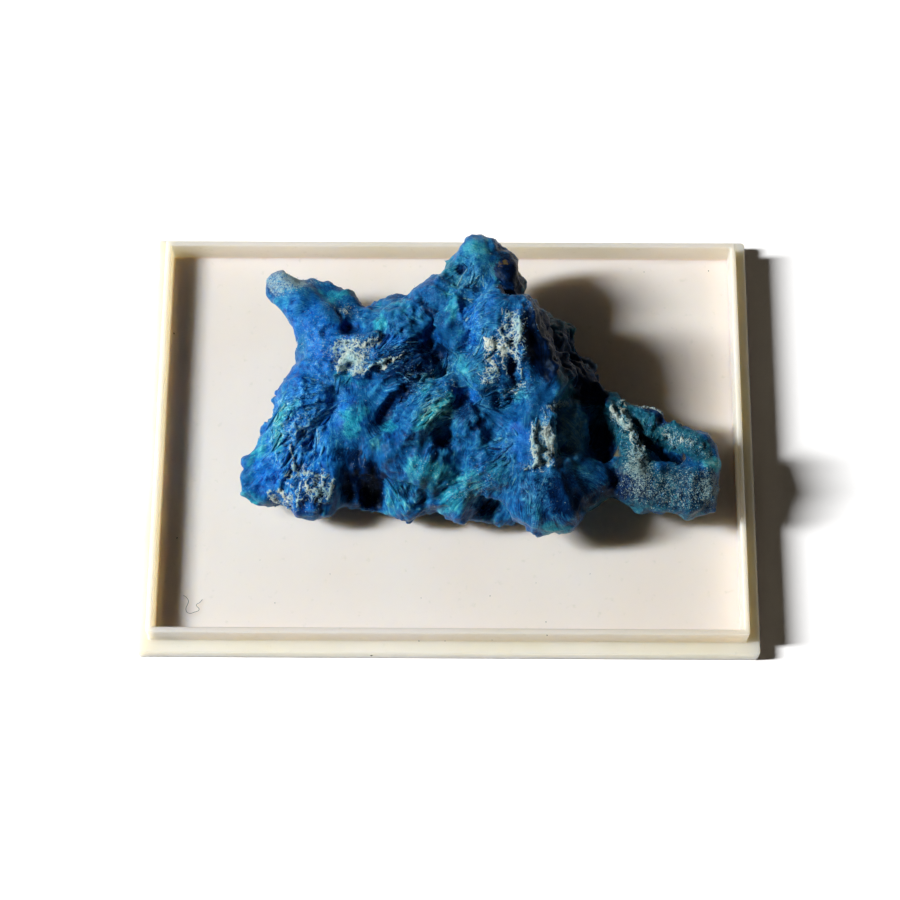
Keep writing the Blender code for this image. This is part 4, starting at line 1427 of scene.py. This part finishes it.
class SPECIMEN_OT_blades(bpy.types.Operator):
    """Lay broad laths and fine needles of crystal on the fibrous parts of the skin"""
    bl_idname = "specimen.blades"
    bl_label = "Lay the blades"

    def execute(self, context):
        settings = context.scene.specimen
        skin = bpy.data.objects[SKIN]
        surface = surface_of(skin.data)
        roots = all_roots(surface.tree)
        chance = np.random.default_rng(7)
        fibrous = np.maximum(fibrous_share(surface), HIDDEN_FIBROUS * hidden_share(surface))
        direction, distance = needle_field(surface.points, roots)
        outward = unit(smoothed(skin.data, surface.normals, 12))
        weights = fibrous ** 3 * (distance > 1.5) * (surface.points[:, 2] > FLOOR_TOP + FOOT)
        made = []
        for wanted, rods in ((settings.laths, LATHS), (settings.needles, NEEDLES)):
            chosen = picked(weights, wanted, chance)
            share = 0.5 + 0.5 * fibrous[chosen]
            start, out, along = surface.points[chosen], outward[chosen], direction[chosen]
            made.append(laid_rods(skin, start, out, along, rods, share, chance))
        corners, faces = joined(*made)
        piece = made_piece("chalcanthite-blades", corners, faces, bpy.data.materials[CRYSTAL])
        tone = np.repeat(chance.normal(0.1, 0.6, len(corners) // ROD_POINTS), ROD_POINTS)
        around = surface_of(piece.data, surface.tree)
        dress(piece.data, around, roots, np.clip(tone, -1.3, 1.3), 0.5 * tone)
        return {"FINISHED"}


GRAIN_POINTS = 6
GRAIN_FACES = np.array((
    (0, 2, 4), (0, 4, 3), (0, 3, 5), (0, 5, 2), (1, 4, 2), (1, 3, 4), (1, 5, 3), (1, 2, 5)))


def scattered(place, size, chance):
    """Points and triangles of eight-faced grains, half as long again as wide, each turned by chance."""
    first = unit(chance.normal(size=place.shape))
    second = unit(np.cross(first, chance.normal(size=place.shape)))
    third = np.cross(first, second)
    tips = [first * 1.5, -first * 1.5, second, -second, third, -third]
    points = np.stack([place + tip * size[:, None] for tip in tips], axis=1).reshape(-1, 3)
    return points, copied_faces(GRAIN_FACES, len(place), GRAIN_POINTS)


# Grains strewn on the skin, in mm: how far they stray, how big they are and how rare the big ones are.
Strewn = namedtuple("Strewn", "spread small large rare_large")
GRANULES = Strewn(spread=0.07, small=0.03, large=0.09, rare_large=2.0)
GLINTS = Strewn(spread=0.12, small=0.03, large=0.12, rare_large=3.0)


def strewn(start, grains, chance):
    """Scattered grains near their starts."""
    place = start + chance.normal(0.0, grains.spread, start.shape)
    share = chance.random(len(start)) ** grains.rare_large
    return scattered(place, grains.small + (grains.large - grains.small) * share, chance)


def tube(curve, radius):
    """Points and triangles of a closed tube along a curve: rings of six corners, and a fan at each end."""
    along = unit(np.gradient(curve, axis=0))
    side = unit(np.cross(along, (0.0, 0.0, 1.0)))
    over = np.cross(side, along)
    turns = np.arange(6) * math.pi / 3.0
    around = np.cos(turns)[:, None] * side[:, None] + np.sin(turns)[:, None] * over[:, None]
    rings = curve[:, None] + radius * around
    ring = np.arange(6)
    after = (ring + 1) % 6
    starts = 6 * np.arange(len(curve) - 1)[:, None]
    first, second = (starts + ring).ravel(), (starts + after).ravel()
    last = 6 * (len(curve) - 1)
    faces = np.concatenate((
        np.stack((first, second, second + 6), axis=1), np.stack((first, second + 6, first + 6), axis=1),
        np.stack((np.full(6, last + 6), after, ring), axis=1),
        np.stack((np.full(6, last + 7), last + ring, last + after), axis=1)))
    return np.concatenate((rings.reshape(-1, 3), curve[:1], curve[-1:])), faces[:, ::-1]


class SPECIMEN_OT_crust(bpy.types.Operator):
    """Weave the threads of the porous crust and strew its granules"""
    bl_idname = "specimen.crust"
    bl_label = "Weave the crust"

    def execute(self, context):
        settings = context.scene.specimen
        skin = bpy.data.objects[SKIN]
        surface = surface_of(skin.data)
        chance = np.random.default_rng(5)
        crusted = patch_mask(surface, CRUST)
        laced = crust_lace(surface.points) ** 2
        weights = np.clip(crusted, 0.0, 1.2) ** 2 * (0.03 + laced) * (crusted < 1.2)
        chosen = picked(weights, settings.threads, chance)
        start = surface.points[chosen]
        out = unit(smoothed(skin.data, surface.normals, 4)[chosen])
        along = needle_field(start, all_roots(surface.tree))[0]
        threads = laid_rods(skin, start, out, along, THREADS, 1.0, chance)
        frosted = np.clip(patch_mask(surface, FROST), 0.0, None)
        weights = np.clip(crusted, 0.0, 0.7) * (0.04 + laced) + 0.1 * frosted
        chosen = picked(weights + 0.4 * strand_mask(surface), settings.granules, chance)
        granules = strewn(surface.points[chosen], GRANULES, chance)
        piece = made_piece("chalcanthite-crust", *joined(threads, granules), crust_material())
        return {"FINISHED"}


class SPECIMEN_OT_grains(bpy.types.Operator):
    """Scatter tiny crystal grains that glint on the skin"""
    bl_idname = "specimen.grains"
    bl_label = "Scatter the grains"

    def execute(self, context):
        settings = context.scene.specimen
        surface = surface_of(bpy.data.objects[SKIN].data)
        chance = np.random.default_rng(11)
        lace = crust_lace(surface.points)
        crusted = np.clip(patch_mask(surface, CRUST), 0.0, 1.2) * lace
        weights = patch_mask(surface, SPARKLE) * (0.3 + lace) + 0.02 + 0.25 * crusted
        weights = weights * (surface.points[:, 2] > FLOOR_TOP + FOOT)
        chosen = picked(weights, settings.grains, chance)
        corners, faces = strewn(surface.points[chosen], GLINTS, chance)
        piece = made_piece("chalcanthite-grains", corners, faces, grain_material())
        white = 0.25 + 0.8 * crusted[chosen] + chance.normal(0.0, 0.25, len(chosen))
        put_value(piece.data, "white", np.repeat(np.clip(white, 0.0, 1.0), GRAIN_POINTS))
        return {"FINISHED"}


class SPECIMEN_OT_tray(bpy.types.Operator):
    """Give the tray its moulded polystyrene"""
    bl_idname = "specimen.tray"
    bl_label = "Finish the tray"

    def execute(self, context):
        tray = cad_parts["tray"]
        tray.data.materials.clear()
        tray.data.materials.append(tray_material(context.scene.specimen))
        return {"FINISHED"}


class SPECIMEN_OT_dust(bpy.types.Operator):
    """Leave the specks of dust and the hair on the tray"""
    bl_idname = "specimen.dust"
    bl_label = "Leave the dust"

    def execute(self, context):
        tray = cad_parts["tray"]
        tree = skin_tree(arrays_of(tray.data)[0], tray.data)
        chance = np.random.default_rng(3)
        place = np.array([behind_pixel(tree, u, v)[0] for u, v, size in SPECKS])
        size = np.array([size for u, v, size in SPECKS])
        corners, faces = scattered(place + np.array((0.0, 0.0, 0.3)) * size[:, None], size, chance)
        specks = made_piece("tray-specks", corners, faces, plain_material("dark grit", "#3c3024", 0.8))

        line = np.array([behind_pixel(tree, u, v)[0] for u, v in HAIR])
        knots = np.arange(len(line))
        fine = np.linspace(0.0, len(line) - 1.0, 6 * len(line))
        curve = np.stack([np.interp(fine, knots, line[:, axis]) for axis in range(3)], axis=1)
        for step in range(8):
            curve[1:-1] = 0.5 * curve[1:-1] + 0.25 * (curve[:-2] + curve[2:])
        curve[:, 2] = FLOOR_TOP + 0.1 + 0.25 * (1.0 + np.sin(fine * 1.3))
        corners, faces = tube(curve, HAIR_RADIUS)
        hair = made_piece("tray-hair", corners, faces, plain_material("fine brown hair", "#4a3c30", 0.6))
        return {"FINISHED"}


# Half a side of the studio's floor, in mm.
STUDIO_HALF = 4000.0


class SPECIMEN_OT_stage(bpy.types.Operator):
    """Set up the studio floor, the light and the camera"""
    bl_idname = "specimen.stage"
    bl_label = "Set the stage"

    def execute(self, context):
        studio = context.scene.studio
        corners = STUDIO_HALF * np.array(((-1, -1, 0), (1, -1, 0), (1, 1, 0), (-1, 1, 0)), float)
        paper = plain_material("white paper", "#fbfbfb", 0.9)
        floor = made_piece("studio-floor", corners, [(0, 1, 2, 3)], paper)

        world = bpy.data.worlds.new("studio")
        world.use_nodes = True
        light = world.node_tree.nodes["Background"]
        light.inputs["Color"].default_value = (*linear("#f6e0c2"), 1.0)
        light.inputs["Strength"].default_value = studio.fill
        context.scene.world = world

        lamp = bpy.data.lights.new("key light", "AREA")
        lamp.shape = "RECTANGLE"
        lamp.size = studio.wide
        lamp.size_y = studio.tall
        lamp.energy = studio.power
        key = bpy.data.objects.new("key light", lamp)
        level = -math.cos(studio.height)
        towards = Vector((
            level * math.cos(studio.side), level * math.sin(studio.side), math.sin(studio.height)))
        key.location = towards * studio.away
        key.rotation_euler = towards.to_track_quat("Z", "Y").to_euler()
        context.scene.collection.objects.link(key)

        lens = bpy.data.cameras.new("photo camera")
        lens.sensor_width = SENSOR
        lens.lens = CAMERA_LENS
        lens.clip_start = 0.01
        camera = bpy.data.objects.new("photo camera", lens)
        camera.location = Vector(CAMERA_PLACE) * MM
        camera.rotation_euler = [math.radians(a) for a in CAMERA_TURN]
        context.scene.collection.objects.link(camera)
        context.scene.camera = camera
        context.scene.view_settings.view_transform = "Standard"
        return {"FINISHED"}


OPERATORS = (
    SPECIMEN_OT_stage, SPECIMEN_OT_tray, SPECIMEN_OT_skin, SPECIMEN_OT_blades, SPECIMEN_OT_crust,
    SPECIMEN_OT_grains, SPECIMEN_OT_dust,
)


class SPECIMEN_PT_panel(bpy.types.Panel):
    """Lists the steps that dress the specimen"""
    bl_idname = "SPECIMEN_PT_panel"
    bl_label = "Specimen"
    bl_space_type = "VIEW_3D"
    bl_region_type = "UI"
    bl_category = "Specimen"

    def draw(self, context):
        for operator in OPERATORS:
            self.layout.operator(operator.bl_idname)
        for group in (context.scene.specimen, context.scene.studio):
            for name in group.__annotations__:
                self.layout.prop(group, name)


CLASSES = (SpecimenSettings, StudioSettings, *OPERATORS, SPECIMEN_PT_panel)


def register():
    for made in CLASSES:
        bpy.utils.register_class(made)
    bpy.types.Scene.specimen = PointerProperty(type=SpecimenSettings)
    bpy.types.Scene.studio = PointerProperty(type=StudioSettings)


def unregister():
    del bpy.types.Scene.studio
    del bpy.types.Scene.specimen
    for made in reversed(CLASSES):
        bpy.utils.unregister_class(made)


def main():
    """Builds the pieces and the stage."""
    register()
    bpy.ops.specimen.stage()
    bpy.ops.specimen.tray()
    bpy.ops.specimen.skin()
    bpy.ops.specimen.blades()
    bpy.ops.specimen.crust()
    bpy.ops.specimen.grains()
    bpy.ops.specimen.dust()


if __name__ == "__main__":
    main()
